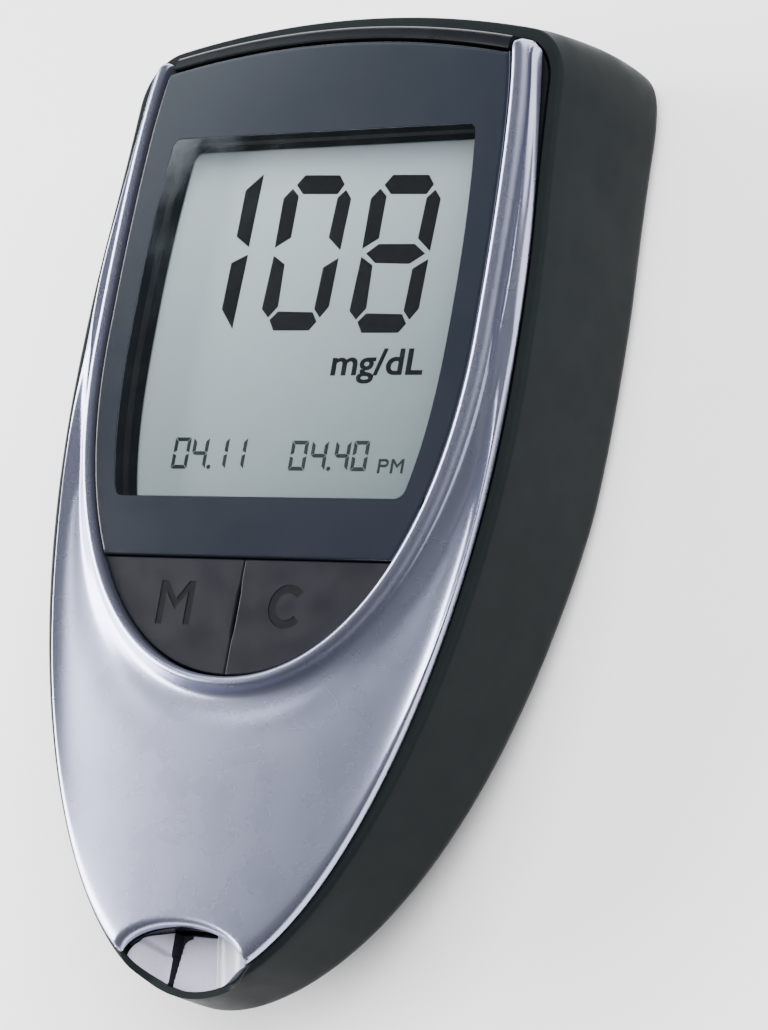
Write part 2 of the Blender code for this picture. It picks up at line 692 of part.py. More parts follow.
# ================================================================ keys
def key(name, side):
    plan = clip(full(offset_half(LENS, 0.15)), 1, KEY_LINE_Y - 0.15, False)
    wide = clip(full(offset_half(LENS, -0.6)), 1, KEY_LINE_Y + 0.4, False)
    plan = clip(plan, 0, side * KEY_SPLIT, side > 0)
    wide = clip(wide, 0, side * KEY_SPLIT, side > 0)
    obj = new_mesh(name, prism(plan, 16.2, KEY_TOP_Z, 0.3), "key", (side * 7.0, -13.0, 18.0))
    combine(obj, prism(wide, 15.9, 16.6), "UNION")
    return obj


key("left_key", -1)
key("right_key", 1)
mat_body = new_mesh("keypad_mat", box_bm(-15.0, 15.0, -17.0, -8.0, 12.3, 12.9), "rubber", smooth=40)
for s in (-1, 1):
    combine(mat_body, turned([(0, 12.4), (3.4, 12.4), (3.2, 12.95), (2.3, 13.7), (2.3, 15.0), (0, 15.0)],
                             (s * 7.0, -12.6), 20), "UNION")

# ================================================================ battery parts
cx, cy = CELL_POS
new_mesh("coin_cell", turned([(0, CELL_Z), (9.6, CELL_Z), (10.0, CELL_Z + 0.35), (10.0, CELL_Z + 2.7),
                              (9.7, CELL_Z + 2.9), (8.7, CELL_Z + 2.9), (8.5, CELL_Z + CELL_H), (0, CELL_Z + CELL_H)],
                             CELL_POS, 40), "steel", (cx, cy, CELL_Z + CELL_H / 2))
new_mesh("battery_contact_positive",
         section_y([(11.0, 2.3), (11.3, 2.3), (11.3, 9.8), (13.0, 9.8), (13.0, 10.1), (11.0, 10.1)], 24.6, 27.4),
         "steel", (11.1, 26.0, 6.0), smooth=None)
new_mesh("battery_contact_negative",
         section_y([(-2.0, 5.85), (-2.0, 6.15), (-7.7, 6.15), (-7.7, 10.1), (-8.0, 10.1), (-8.0, 5.85)], 24.6, 27.4),
         "steel", (-5.0, 26.0, 6.0), smooth=None)
box("back_label", -14.9, 14.9, 3.2, 10.6, 0.05, 0.25, "label")


# ================================================================ screws
def screw(name, x, y, head_r, head_z0, head_z1, shaft_r, tip_z):
    body = turned([(0, head_z0), (head_r - 0.3, head_z0), (head_r, head_z0 + 0.35), (head_r, head_z1),
                   (shaft_r, head_z1), (shaft_r, tip_z - 0.6), (shaft_r * 0.55, tip_z), (0, tip_z)], (x, y), 20)
    obj = new_mesh(name, body, "steel", (x, y, head_z1), smooth=40)
    combine(obj, box_bm(x - 0.95, x + 0.95, y - 0.2, y + 0.2, head_z0 - 1.0, head_z0 + 0.7))
    combine(obj, box_bm(x - 0.2, x + 0.2, y - 0.95, y + 0.95, head_z0 - 1.0, head_z0 + 0.7))
    return obj


for i, (sx, sy) in enumerate(CASE_SCREWS):
    screw("case_screw_%d" % (i + 1), sx, sy, 1.7, SEATS[i] - 1.7, SEATS[i] - 0.3, 1.0, 15.9)
for i, (sx, sy) in enumerate(BOARD_SCREWS):
    screw("board_screw_%d" % (i + 1), sx, sy, 1.5, UNDER - 1.3, UNDER, 0.8, 15.7)
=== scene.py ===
"""Visual model of the hand-held meter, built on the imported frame.

Dimensions below are millimetres: +Z out of the front face, +Y toward the
display end, flat back on z = 0. They are measured from the middle of the front
rim, which lies SHIFT_Y from the frame's origin.
"""
import bpy
import bmesh
from math import asin, atan2, cos, hypot, pi, radians, sin, sqrt
from mathutils import Matrix, Vector
from mathutils.bvhtree import BVHTree


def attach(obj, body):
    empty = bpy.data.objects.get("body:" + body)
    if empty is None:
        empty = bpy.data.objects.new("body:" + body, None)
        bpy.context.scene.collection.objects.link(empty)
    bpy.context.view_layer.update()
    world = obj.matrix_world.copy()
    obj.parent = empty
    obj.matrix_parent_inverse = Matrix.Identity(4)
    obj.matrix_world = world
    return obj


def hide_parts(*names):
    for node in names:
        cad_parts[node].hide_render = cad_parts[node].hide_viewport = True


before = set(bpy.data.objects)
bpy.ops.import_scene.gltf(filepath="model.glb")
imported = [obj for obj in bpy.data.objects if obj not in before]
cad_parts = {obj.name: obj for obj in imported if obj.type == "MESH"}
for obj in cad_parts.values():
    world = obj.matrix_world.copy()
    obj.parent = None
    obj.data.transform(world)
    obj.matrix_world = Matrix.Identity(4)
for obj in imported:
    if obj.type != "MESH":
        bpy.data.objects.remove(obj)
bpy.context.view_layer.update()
MM = 0.001

# ================================================================ camera
AZ, EL, ROLL = radians(33.5), radians(-13.6584), radians(9.8629)
CAMERA_AT = (187.987, -80.112, 281.782)
FOCAL_PX = 3400.0
IMAGE = (768, 1030)


def place_camera():
    v = Vector((sin(AZ) * cos(EL), sin(EL), cos(AZ) * cos(EL)))
    zc = -v
    xc = zc.cross(Vector((0, 1, 0))).normalized()
    yc = zc.cross(xc)
    right = cos(ROLL) * xc - sin(ROLL) * yc
    down = sin(ROLL) * xc + cos(ROLL) * yc
    up = -down
    rot = Matrix((right, up, v)).transposed().to_4x4()
    data = bpy.data.cameras.new("camera")
    data.sensor_width = 36.0
    data.lens = FOCAL_PX / IMAGE[1] * 36.0
    data.clip_start = 0.01
    cam = bpy.data.objects.new("camera", data)
    cam.matrix_world = Matrix.Translation([c * MM for c in CAMERA_AT]) @ rot
    bpy.context.scene.collection.objects.link(cam)
    bpy.context.scene.camera = cam
    return cam


place_camera()

# ================================================================ dimensions
HALF_LENGTH = 50.0
SHIFT_Y = -0.95
RIM_Z = 18.5
LENS_Z = 20.85
LENS_PLANE = 20.87
GAP = 0.3
WALL = 1.4
FLOOR = 1.5
BACK_EDGE_R = 2.1
BACK_FLAT_Y = 4.0
BACK_SLOPE = 6.0
BACK_CURL = 3.4
BELT_TOP = 2.08
BELT_SIDE = 1.6
BELT_TIP = 0.16
BELT_MAX_X = 27.48
BELT_POWER = 1.9
RIM_TOP_R = 95.0
RIM_ARC_X = 21.2
RIM_SIDE = (25.42, 41.6)
RIM_WIDE = (26.82, 11.7)
RIM_HANDLES = (0.045, 15.0, 14.5, 35.0, 13.0)
FRAME_TOP = (22.9, 44.8)
FRAME_WIDE = (25.45, 11.4)
FRAME_BOTTOM_Y = -49.35
FRAME_HANDLES = (0.13, 17.5, 12.9, 33.5, 13.1)
LENS_TOP_Y = 46.4
LENS_TOP_R = 92.0
LENS_ARC_X = 19.9
LENS_SIDE = (20.5, 44.2)
LENS_WIDE = (21.92, 15.8)
LENS_BOTTOM_Y = -19.4
LENS_HANDLES = (0.24, 6.8, 2.0, 21.4, 13.0)
KEY_LINE_Y = -7.65
KEY_TOP_Z = 20.45
WINDOW_Y = (-1.5, 36.7)
WINDOW_W = 18.9
WINDOW_WIDE_Y = 20.0
WINDOW_TAPER = (0.75, 1.6)
GLASS_X = 20.4
GLASS_Y = (-3.6, 38.2)
LCD_Z = 16.6
PLATE_Z = (16.9, 18.3)
BOARD_Z = (10.4, 12.0)
SCOOP_W = 7.1
SCOOP_TOP_Y = -43.6
SCOOP_Z = 15.0
DIP_X = (4.5, 7.7)
DIP_Z = 16.9
LIP = 0.62
CELL_R = 10.0
CELL_H = 3.2
CELL_POS = (0.0, 26.0)
CELL_Z = 2.3
DOOR_X = 13.0
DOOR_Y = 14.1
DOOR_T = 1.5
DOOR_TRAVEL = 8.0
TONGUE_X = (10.3, 12.7)
CASE_SCREWS = ((-19.5, 43.3), (19.5, 43.3), (-14.0, -24.0), (14.0, -24.0))
BOARD_SCREWS = ((-9.0, -30.0), (9.0, -30.0))


# ================================================================ node materials
class Net:
    """Small helper that wires shader nodes; coordinates come out in millimetres."""

    def __init__(self, name):
        self.mat = bpy.data.materials.new(name)
        self.mat.use_nodes = True
        self.tree = self.mat.node_tree
        self.nodes = self.tree.nodes
        self.shader = self.nodes["Principled BSDF"]
        self.out = self.nodes["Material Output"]
        tex = self.nodes.new("ShaderNodeTexCoord")
        scale = self.nodes.new("ShaderNodeMapping")
        scale.inputs["Scale"].default_value = (1000.0, 1000.0, 1000.0)
        scale.inputs["Location"].default_value = (0.0, -SHIFT_Y, 0.0)
        self.link(tex.outputs["Object"], scale.inputs["Vector"])
        self.mm = scale.outputs["Vector"]

    def link(self, a, b):
        self.tree.links.new(a, b)

    def noise(self, scale, detail=2.0, rough=0.5, stretch=None, distortion=0.0):
        n = self.nodes.new("ShaderNodeTexNoise")
        n.inputs["Scale"].default_value = scale
        n.inputs["Detail"].default_value = detail
        n.inputs["Roughness"].default_value = rough
        n.inputs["Distortion"].default_value = distortion
        src = self.mm
        if stretch:
            m = self.nodes.new("ShaderNodeMapping")
            m.inputs["Scale"].default_value = stretch
            self.link(src, m.inputs["Vector"])
            src = m.outputs["Vector"]
        self.link(src, n.inputs["Vector"])
        return n.outputs["Fac"]

    def cells(self, scale, feature="F1", output="Distance", smooth=None):
        n = self.nodes.new("ShaderNodeTexVoronoi")
        n.feature = feature
        n.inputs["Scale"].default_value = scale
        self.link(self.mm, n.inputs["Vector"])
        return n.outputs[output]

    def span(self, value, a, b, lo, hi):
        n = self.nodes.new("ShaderNodeMapRange")
        n.inputs["From Min"].default_value = a
        n.inputs["From Max"].default_value = b
        n.inputs["To Min"].default_value = lo
        n.inputs["To Max"].default_value = hi
        self.link(value, n.inputs["Value"])
        return n.outputs["Result"]

    def maths(self, op, a, b=None):
        n = self.nodes.new("ShaderNodeMath")
        n.operation = op
        for i, v in enumerate((a, b)):
            if v is None:
                continue
            if isinstance(v, (int, float)):
                n.inputs[i].default_value = v
            else:
                self.link(v, n.inputs[i])
        return n.outputs[0]

    def axis(self, which):
        n = self.nodes.new("ShaderNodeSeparateXYZ")
        self.link(self.mm, n.inputs[0])
        return n.outputs[which]

    def blend(self, fac, a, b):
        n = self.nodes.new("ShaderNodeMix")
        n.data_type = "RGBA"
        for sock, v in ((6, a), (7, b)):
            if isinstance(v, tuple):
                n.inputs[sock].default_value = (*v, 1.0)
            else:
                self.link(v, n.inputs[sock])
        self.link(fac, n.inputs[0])
        return n.outputs[2]

    def bump(self, height, distance_mm, strength=1.0, after=None):
        n = self.nodes.new("ShaderNodeBump")
        n.inputs["Strength"].default_value = strength
        n.inputs["Distance"].default_value = distance_mm * MM
        self.link(height, n.inputs["Height"])
        if after is not None:
            self.link(after, n.inputs["Normal"])
        return n.outputs["Normal"]

    def set(self, **values):
        for key, v in values.items():
            self.shader.inputs[key.replace("_", " ")].default_value = v

    def colour(self, sock):
        self.link(sock, self.shader.inputs["Base Color"])

    def rough(self, sock):
        self.link(sock, self.shader.inputs["Roughness"])

    def normal(self, sock):
        self.link(sock, self.shader.inputs["Normal"])


def shade(c, k):
    return tuple(max(0.0, v * k) for v in c)


def plastic(name, base, rough, drift=0.10, grain=0.006, grain_scale=9.0, rough_drift=0.06, coat=0.0,
            coat_rough=0.1, specular=0.5, tint=None):
    """Moulded plastic: slow colour drift, fine spark texture and uneven gloss."""
    net = Net(name)
    slow = net.noise(0.12, 3.0)
    fine = net.noise(3.0, 2.0)
    second = tint if tint else shade(base, 1.0 + drift)
    c = net.blend(net.span(slow, 0.3, 0.7, 0.0, 1.0), shade(base, 1.0 - drift), second)
    c = net.blend(net.span(fine, 0.35, 0.65, 0.0, 0.35), c, shade(base, 0.82))
    net.colour(c)
    net.rough(net.span(net.noise(0.35, 4.0), 0.3, 0.7, rough - rough_drift, rough + rough_drift))
    if grain:
        net.normal(net.bump(net.noise(grain_scale, 3.0, 0.6), grain))
    net.set(Specular_IOR_Level=specular)
    if coat:
        net.set(Coat_Weight=coat, Coat_Roughness=coat_rough)
    return net.mat


def silver_paint():
    """Metal-flake paint under a thin satin lacquer."""
    net = Net("silver_paint")
    flake = net.cells(26.0, output="Color")
    sep = net.nodes.new("ShaderNodeSeparateColor")
    net.link(flake, sep.inputs[0])
    slow = net.noise(0.09, 3.0)
    c = net.blend(net.span(slow, 0.3, 0.7, 0.0, 1.0), (0.415, 0.440, 0.610), (0.430, 0.455, 0.630))
    c = net.blend(net.span(sep.outputs[0], 0.0, 1.0, 0.0, 0.10), c, (0.56, 0.57, 0.70))
    net.colour(c)
    net.rough(net.span(net.noise(0.25, 2.0), 0.3, 0.7, 0.265, 0.285))
    net.normal(net.bump(net.noise(4.0, 2.0), 0.0004))
    net.set(Metallic=0.90, Coat_Weight=0.10, Coat_Roughness=0.2)
    return net.mat


def smoked_lens():
    """Dark print seen through the clear lens, with faint handling haze."""
    net = Net("smoked_lens")
    slow = net.noise(0.05, 2.0)
    c = net.blend(net.span(slow, 0.3, 0.7, 0.0, 1.0), (0.0085, 0.0110, 0.0165), (0.0095, 0.0122, 0.0182))
    c = net.blend(net.span(net.noise(6.0, 2.0), 0.4, 0.6, 0.0, 0.10), c, (0.008, 0.010, 0.015))
    net.colour(c)
    net.rough(net.span(net.noise(0.12, 4.0, 0.6), 0.35, 0.65, 0.185, 0.215))
    net.normal(net.bump(net.noise(0.5, 2.0), 0.0010))
    net.set(Specular_IOR_Level=0.65, Coat_Weight=0.3, Coat_Roughness=0.12)
    return net.mat


def window_clear():
    """Clear pane: see-through, with a reflection that grows toward grazing view."""
    net = Net("window_clear")
    glossy = net.nodes.new("ShaderNodeBsdfGlossy")
    glossy.inputs["Color"].default_value = (0.95, 0.97, 1.0, 1.0)
    net.link(net.span(net.noise(0.3, 4.0), 0.35, 0.65, 0.04, 0.09), glossy.inputs["Roughness"])
    net.link(net.bump(net.noise(0.4, 2.0), 0.002), glossy.inputs["Normal"])
    clear = net.nodes.new("ShaderNodeBsdfTransparent")
    clear.inputs["Color"].default_value = (0.97, 0.985, 0.985, 1.0)
    weight = net.nodes.new("ShaderNodeLayerWeight")
    weight.inputs["Blend"].default_value = 0.3
    fac = net.span(weight.outputs["Facing"], 0.0, 1.0, 0.035, 0.55)
    mix = net.nodes.new("ShaderNodeMixShader")
    net.link(fac, mix.inputs[0])
    net.link(clear.outputs[0], mix.inputs[1])
    net.link(glossy.outputs[0], mix.inputs[2])
    net.link(mix.outputs[0], net.out.inputs["Surface"])
    net.nodes.remove(net.shader)
    return net.mat


def display_film():
    """Reflective display: grey-green film with fine mottle, and a painted sheen: much lighter toward the upper-left
    corner, where the light falls.
    """
    net = Net("display_film")
    # painted sheen: the colour ramps from dark grey-green at lower right to light at upper left, standing in for the
    # light reflected there
    across = net.maths("ADD", net.maths("MULTIPLY", net.axis(0), -0.5), net.maths("MULTIPLY", net.axis(1), 0.6))
    painted_sheen_ramp = net.maths("POWER", net.span(across, -12.0, 28.0, 0.0, 1.0), 1.5)
    c = net.blend(painted_sheen_ramp, (0.120, 0.145, 0.158), (0.50, 0.56, 0.60))
    mottle = net.noise(2.2, 4.0, 0.65)
    c = net.blend(net.span(mottle, 0.3, 0.7, 0.0, 0.10), c, (0.27, 0.33, 0.315))
    c = net.blend(net.span(net.noise(12.0, 1.0), 0.45, 0.65, 0.0, 0.07), c, (0.19, 0.23, 0.225))
    net.colour(c)
    net.rough(net.span(net.noise(1.0, 3.0), 0.3, 0.7, 0.30, 0.42))
    net.normal(net.bump(net.noise(10.0, 2.0), 0.002))
    net.set(Specular_IOR_Level=0.35)
    return net.mat


def ink(name, base):
    net = Net(name)
    c = net.blend(net.span(net.noise(1.6, 3.0), 0.3, 0.7, 0.0, 1.0), shade(base, 0.85), shade(base, 1.2))
    net.colour(c)
    net.rough(net.span(net.noise(3.0, 2.0), 0.3, 0.7, 0.35, 0.5))
    net.set(Specular_IOR_Level=0.12)
    return net.mat


def metal(name, base, rough, stretch=(1.0, 1.0, 1.0), scale=4.0, depth=0.003, spread=0.08):
    net = Net(name)
    streak = net.noise(scale, 4.0, 0.6, stretch=stretch)
    c = net.blend(net.span(streak, 0.3, 0.7, 0.0, 1.0), shade(base, 0.86), shade(base, 1.06))
    net.colour(c)
    net.rough(net.span(streak, 0.3, 0.7, rough - spread, rough + spread))
    net.normal(net.bump(streak, depth))
    net.set(Metallic=1.0)
    return net.mat


def rubber(name, base, rough=0.75):
    net = Net(name)
    c = net.blend(net.span(net.noise(0.8, 4.0), 0.3, 0.7, 0.0, 1.0), shade(base, 0.85), shade(base, 1.15))
    net.colour(c)
    net.rough(net.span(net.noise(2.0, 3.0), 0.3, 0.7, rough - 0.06, rough + 0.06))
    net.normal(net.bump(net.noise(6.0, 4.0, 0.65), 0.02))
    net.set(Specular_IOR_Level=0.35)
    return net.mat


def zebra():
    """Alternating conductive and insulating layers along the strip."""
    net = Net("zebra_layers")
    wave = net.nodes.new("ShaderNodeTexWave")
    wave.wave_type = "BANDS"
    wave.bands_direction = "X"
    wave.inputs["Scale"].default_value = 1.6
    wave.inputs["Distortion"].default_value = 0.0
    net.link(net.mm, wave.inputs["Vector"])
    stripe = net.span(wave.outputs["Fac"], 0.4, 0.6, 0.0, 1.0)
    net.colour(net.blend(stripe, (0.32, 0.15, 0.18), (0.03, 0.03, 0.032)))
    net.rough(net.span(net.noise(2.0, 3.0), 0.3, 0.7, 0.6, 0.75))
    net.normal(net.bump(net.noise(8.0, 3.0), 0.01))
    return net.mat


def circuit_board():
    """Solder mask over copper: raised runs of track and woven glass beneath."""
    net = Net("circuit_board")
    brick = net.nodes.new("ShaderNodeTexBrick")
    brick.offset = 0.37
    brick.inputs["Scale"].default_value = 0.32
    brick.inputs["Mortar Size"].default_value = 0.05
    brick.inputs["Mortar Smooth"].default_value = 0.1
    brick.inputs["Color1"].default_value = (0, 0, 0, 1)
    brick.inputs["Color2"].default_value = (0, 0, 0, 1)
    brick.inputs["Mortar"].default_value = (1, 1, 1, 1)
    net.link(net.mm, brick.inputs["Vector"])
    track = brick.outputs["Fac"]
    weave = net.noise(5.0, 2.0, stretch=(1.0, 4.0, 1.0))
    base = net.blend(net.span(weave, 0.3, 0.7, 0.0, 1.0), (0.008, 0.085, 0.035), (0.014, 0.120, 0.050))
    net.colour(net.blend(track, base, (0.030, 0.210, 0.085)))
    net.rough(net.span(net.noise(1.0, 3.0), 0.3, 0.7, 0.28, 0.42))
    net.normal(net.bump(track, 0.03, 0.6))
    net.set(Coat_Weight=0.3, Coat_Roughness=0.15)
    return net.mat


def epoxy():
    net = Net("black_epoxy")
    c = net.blend(net.span(net.noise(5.0, 4.0), 0.3, 0.7, 0.0, 1.0), (0.012, 0.012, 0.013), (0.026, 0.026, 0.028))
    net.colour(c)
    net.rough(net.span(net.noise(9.0, 2.0), 0.3, 0.7, 0.42, 0.6))
    net.normal(net.bump(net.noise(14.0, 3.0), 0.012))
    return net.mat


def ceramic():
    net = Net("brown_ceramic")
    end = net.maths("ABSOLUTE", net.maths("ADD", net.axis(0), 15.9))
    cap = net.span(end, 1.05, 1.10, 0.0, 1.0)
    body = net.blend(net.span(net.noise(7.0, 3.0), 0.3, 0.7, 0.0, 1.0), (0.27, 0.17, 0.10), (0.36, 0.24, 0.15))
    net.colour(net.blend(cap, body, (0.62, 0.62, 0.60)))
    net.rough(net.span(net.noise(3.0, 2.0), 0.3, 0.7, 0.35, 0.55))
    net.normal(net.bump(net.noise(9.0, 3.0), 0.008))
    return net.mat


def label_film():
    """Plain satin film with a printed hairline border and nothing on it."""
    net = Net("label_film")
    ax = net.maths("ABSOLUTE", net.axis(0))
    ay = net.maths("ABSOLUTE", net.maths("ADD", net.axis(1), -6.9))
    d = net.maths("MINIMUM", net.maths("SUBTRACT", 14.7, ax), net.maths("SUBTRACT", 3.55, ay))
    line = net.maths("SUBTRACT", 1.0, net.span(net.maths("ABSOLUTE", net.maths("ADD", d, -0.9)), 0.08, 0.13, 0.0, 1.0))
    base = net.blend(net.span(net.noise(0.4, 4.0), 0.3, 0.7, 0.0, 1.0), (0.50, 0.51, 0.53), (0.60, 0.61, 0.63))
    net.colour(net.blend(line, base, (0.16, 0.17, 0.19)))
    net.rough(net.span(net.noise(1.4, 3.0), 0.3, 0.7, 0.34, 0.48))
    net.normal(net.bump(net.noise(0.9, 3.0), 0.012))
    net.set(Metallic=0.35)
    return net.mat


MAT = {
    "housing": plastic("charcoal_housing", (0.0094, 0.0120, 0.0127), 0.42, grain=0.004, grain_scale=7.0,
                       specular=0.03),
    "trim": plastic("inner_trim", (0.0060, 0.0070, 0.0085), 0.30, grain=0.004, specular=0.20),
    "wall": plastic("window_wall", (0.0070, 0.0090, 0.0125), 0.80, grain=0.004, specular=0.02),
    # painted shade for the floor and left wall of the strip port's slot
    "slot": plastic("port_slot_shade", (0.020, 0.019, 0.028), 0.60, grain=0.004, specular=0.08),
    # painted shade for the floors of the engraved key letters
    "mark": plastic("key_letter_painted_shade", (0.0045, 0.0045, 0.0060), 0.60, grain=0.004, specular=0.08),
    "frame": silver_paint(),
    "lens": smoked_lens(),
    "window": window_clear(),
    "display": display_film(),
    "segment": ink("segment_dark", (0.0052, 0.0056, 0.0070)),
    "small": ink("segment_soft", (0.018, 0.025, 0.0245)),
    "film": plastic("reflector_film", (0.55, 0.58, 0.57), 0.4, drift=0.05, grain=0.003),
    "tape": rubber("foam_tape", (0.005, 0.005, 0.006), 0.7),
    "key": plastic("key_plastic", (0.0084, 0.0086, 0.0118), 0.36, drift=0.08, grain=0.004, grain_scale=8.0,
                   specular=0.14, tint=(0.0094, 0.0102, 0.0138)),
    "rubber": rubber("grey_rubber", (0.19, 0.19, 0.20)),
    "zebra": zebra(),
    "board": circuit_board(),
    "chip": epoxy(),
    "steel": metal("bright_steel", (0.62, 0.62, 0.63), 0.26, stretch=(1.0, 6.0, 1.0)),
    "cell": metal("cell_steel", (0.66, 0.66, 0.66), 0.24, stretch=(1.0, 1.0, 9.0), scale=3.0),
    "gold": metal("gold_plate", (0.83, 0.62, 0.25), 0.28, scale=6.0),
    "port": plastic("pale_port_plastic", (0.34, 0.34, 0.43), 0.36, drift=0.05, grain=0.004, coat=0.15),
    "ivory": plastic("ivory_plastic", (0.60, 0.58, 0.51), 0.42, drift=0.06, grain=0.006),
    "ceramic": ceramic(),
    "label": label_film(),
}


# ================================================================ mesh helpers
def mesh_object(name, bm, mat=None, smooth=32.0, weld=0.0004):
    bmesh.ops.remove_doubles(bm, verts=bm.verts, dist=weld)
    bmesh.ops.recalc_face_normals(bm, faces=bm.faces)
    for v in bm.verts:
        v.co.y += SHIFT_Y
        v.co *= MM
    mesh = bpy.data.meshes.new(name)
    bm.to_mesh(mesh)
    bm.free()
    obj = bpy.data.objects.new(name, mesh)
    bpy.context.scene.collection.objects.link(obj)
    if mat:
        mesh.materials.append(MAT[mat])
    if smooth:
        mesh.shade_smooth()
        mesh.set_sharp_from_angle(angle=radians(smooth))
    return obj


def settle(obj):
    """Turn an object's modifiers into plain mesh."""
    graph = bpy.context.evaluated_depsgraph_get()
    graph.update()
    mesh = bpy.data.meshes.new_from_object(obj.evaluated_get(graph), preserve_all_data_layers=True, depsgraph=graph)
    obj.modifiers.clear()
    old = obj.data
    obj.data = mesh
    bpy.data.meshes.remove(old)
    mesh.name = obj.name
    return obj


def carve(obj, steps):
    """Cut with, or join, each (operation, bmesh) in turn, then keep the result as plain mesh."""
    tools = []
    for op, bm in steps:
        tool = mesh_object("tool", bm, smooth=None)
        mod = obj.modifiers.new("carve", "BOOLEAN")
        mod.operation = op
        mod.solver = "EXACT"
        mod.object = tool
        tools.append(tool)
    settle(obj)
    for tool in tools:
        mesh = tool.data
        bpy.data.objects.remove(tool)
        bpy.data.meshes.remove(mesh)
    return obj


def finish_normals(obj, angle=32.0):
    """Drop slivers, mark real edges sharp and even out the shading of the flats."""
    bm = bmesh.new()
    bm.from_mesh(obj.data)
    bmesh.ops.dissolve_degenerate(bm, dist=2e-7, edges=bm.edges)
    bm.to_mesh(obj.data)
    bm.free()
    obj.data.shade_smooth()
    obj.data.set_sharp_from_angle(angle=radians(angle))
    mod = obj.modifiers.new("normals", "WEIGHTED_NORMAL")
    mod.keep_sharp = True
    mod.mode = "FACE_AREA_WITH_ANGLE"
    settle(obj)
    return obj


def place(obj, body, slot, *nodes):
    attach(obj, body)
    if nodes:
        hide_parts(*nodes)
    return obj


def second_finish(obj, mat, wanted):
    """Give the faces that wanted(centre, normal) picks a second finish; the centre is in millimetres."""
    obj.data.materials.append(MAT[mat])
    index = len(obj.data.materials) - 1
    for face in obj.data.polygons:
        c = face.center / MM
        if wanted((c.x, c.y - SHIFT_Y, c.z), face.normal):
            face.material_index = index
    return obj


CUT, JOIN, KEEP = "DIFFERENCE", "UNION", "INTERSECT"


def bezier(p0, p1, p2, p3, n):
    out = []
    for k in range(1, n + 1):
        t = k / n
        u = 1.0 - t
        out.append(tuple(u ** 3 * a + 3 * u * u * t * b + 3 * u * t * t * c + t ** 3 * d
                         for a, b, c, d in zip(p0, p1, p2, p3)))
    return out


def side_curve(start, wide, bottom_y, handles, n1, n2):
    slope, h0, up, down, end = handles
    p1 = (start[0] + slope * h0, start[1] - h0)
    upper = bezier(start, p1, (wide[0], wide[1] + up), wide, n1)
    lower = bezier(wide, (wide[0], wide[1] - down), (end, bottom_y), (0.0, bottom_y), n2)
    return [start] + upper + lower


def belt_out(y):
    """How far the belt stands outside the rim at a station."""
    return BELT_TIP + (BELT_SIDE - BELT_TIP) * (max(0.0, y + 12.0) / 54.0) ** 1.6


def rim_half(belt=False, n_arc=24, n_corner=18, n1=36, n2=96):
    """Half outline of the rim, or of the belt below it."""
    pts = []
    top_y = HALF_LENGTH + (BELT_TOP if belt else 0.0)
    for k in range(n_arc + 1):
        a = asin(RIM_ARC_X / RIM_TOP_R) * k / n_arc
        pts.append((RIM_TOP_R * sin(a), top_y - RIM_TOP_R * (1 - cos(a))))
    p = pts[-1]
    out = belt_out(RIM_SIDE[1]) if belt else 0.0
    side = (RIM_SIDE[0] + out, RIM_SIDE[1])
    corner = (25.25 + out, 49.94 if belt else 46.62)
    k = 0.815 if belt else 0.6
    c1 = (p[0] + k * (corner[0] - p[0]), p[1] + k * (corner[1] - p[1]))
    c2 = (side[0] + k * (corner[0] - side[0]), side[1] + k * (corner[1] - side[1]))
    pts += bezier(p, c1, c2, side, n_corner)
    run = side_curve(RIM_SIDE, RIM_WIDE, -HALF_LENGTH, RIM_HANDLES, n1, n2)
    n = len(run)
    for i in range(1, n):
        x, y = run[i]
        if belt:
            ax, ay = run[i - 1]
            bx, by = run[min(n - 1, i + 1)]
            length = hypot(bx - ax, by - ay)
            nx, ny = (-(by - ay) / length, (bx - ax) / length) if i < n - 1 else (0.0, -1.0)
            x, y = min(BELT_MAX_X, max(0.0, x + nx * belt_out(y))), y + ny * belt_out(y)
        pts.append((x, y))
    return pts


def lens_half(n_arc=24, n_corner=8, n1=36, n2=72):
    pts = []
    for k in range(n_arc + 1):
        a = asin(LENS_ARC_X / LENS_TOP_R) * k / n_arc
        pts.append((LENS_TOP_R * sin(a), LENS_TOP_Y - LENS_TOP_R * (1 - cos(a))))
    p = pts[-1]
    pts += bezier(p, (20.2, p[1] - 0.07), (20.45, 44.5), LENS_SIDE, n_corner)
    pts += side_curve(LENS_SIDE, LENS_WIDE, LENS_BOTTOM_Y, LENS_HANDLES, n1, n2)[1:]
    return pts


def offset_half(pts, d):
    """Move a half outline inward by d along its plan normal."""
    n = len(pts)
    out = []
    for i, (x, y) in enumerate(pts):
        if i == 0:
            out.append((x, y - d))
            continue
        if i == n - 1:
            out.append((x, y + d))
            continue
        ax, ay = pts[i - 1]
        bx, by = pts[i + 1]
        tx, ty = bx - ax, by - ay
        length = hypot(tx, ty)
        out.append((max(0.0, x + d * ty / length), y - d * tx / length))
    return out


def full(pts):
    return pts + [(-x, y) for x, y in reversed(pts[1:-1])]


def clip(poly, axis, limit, keep_above):
    sign = 1.0 if keep_above else -1.0
    out = []
    for i, p in enumerate(poly):
        q = poly[(i + 1) % len(poly)]
        dp = sign * (p[axis] - limit)
        dq = sign * (q[axis] - limit)
        if dp >= 0:
            out.append(p)
        if (dp > 0 and dq < 0) or (dp < 0 and dq > 0):
            t = dp / (dp - dq)
            out.append((p[0] + t * (q[0] - p[0]), p[1] + t * (q[1] - p[1])))
    clean = []
    for p in out:
        if not clean or hypot(p[0] - clean[-1][0], p[1] - clean[-1][1]) > 0.02:
            clean.append(p)
    if hypot(clean[0][0] - clean[-1][0], clean[0][1] - clean[-1][1]) < 0.02:
        clean.pop()
    return clean


def back_z(y):
    """Height of the back over the plane it rests on."""
    u = (BACK_FLAT_Y - y) / (BACK_FLAT_Y + HALF_LENGTH)
    if u <= 0.0:
        return 0.0
    return BACK_SLOPE * (hypot(u, 0.06) - 0.06) + BACK_CURL * u ** 5


def bridge(bm, a, b):
    n = len(a)
    for i in range(n):
        j = (i + 1) % n
        bm.faces.new((a[i], a[j], b[j], b[i]))


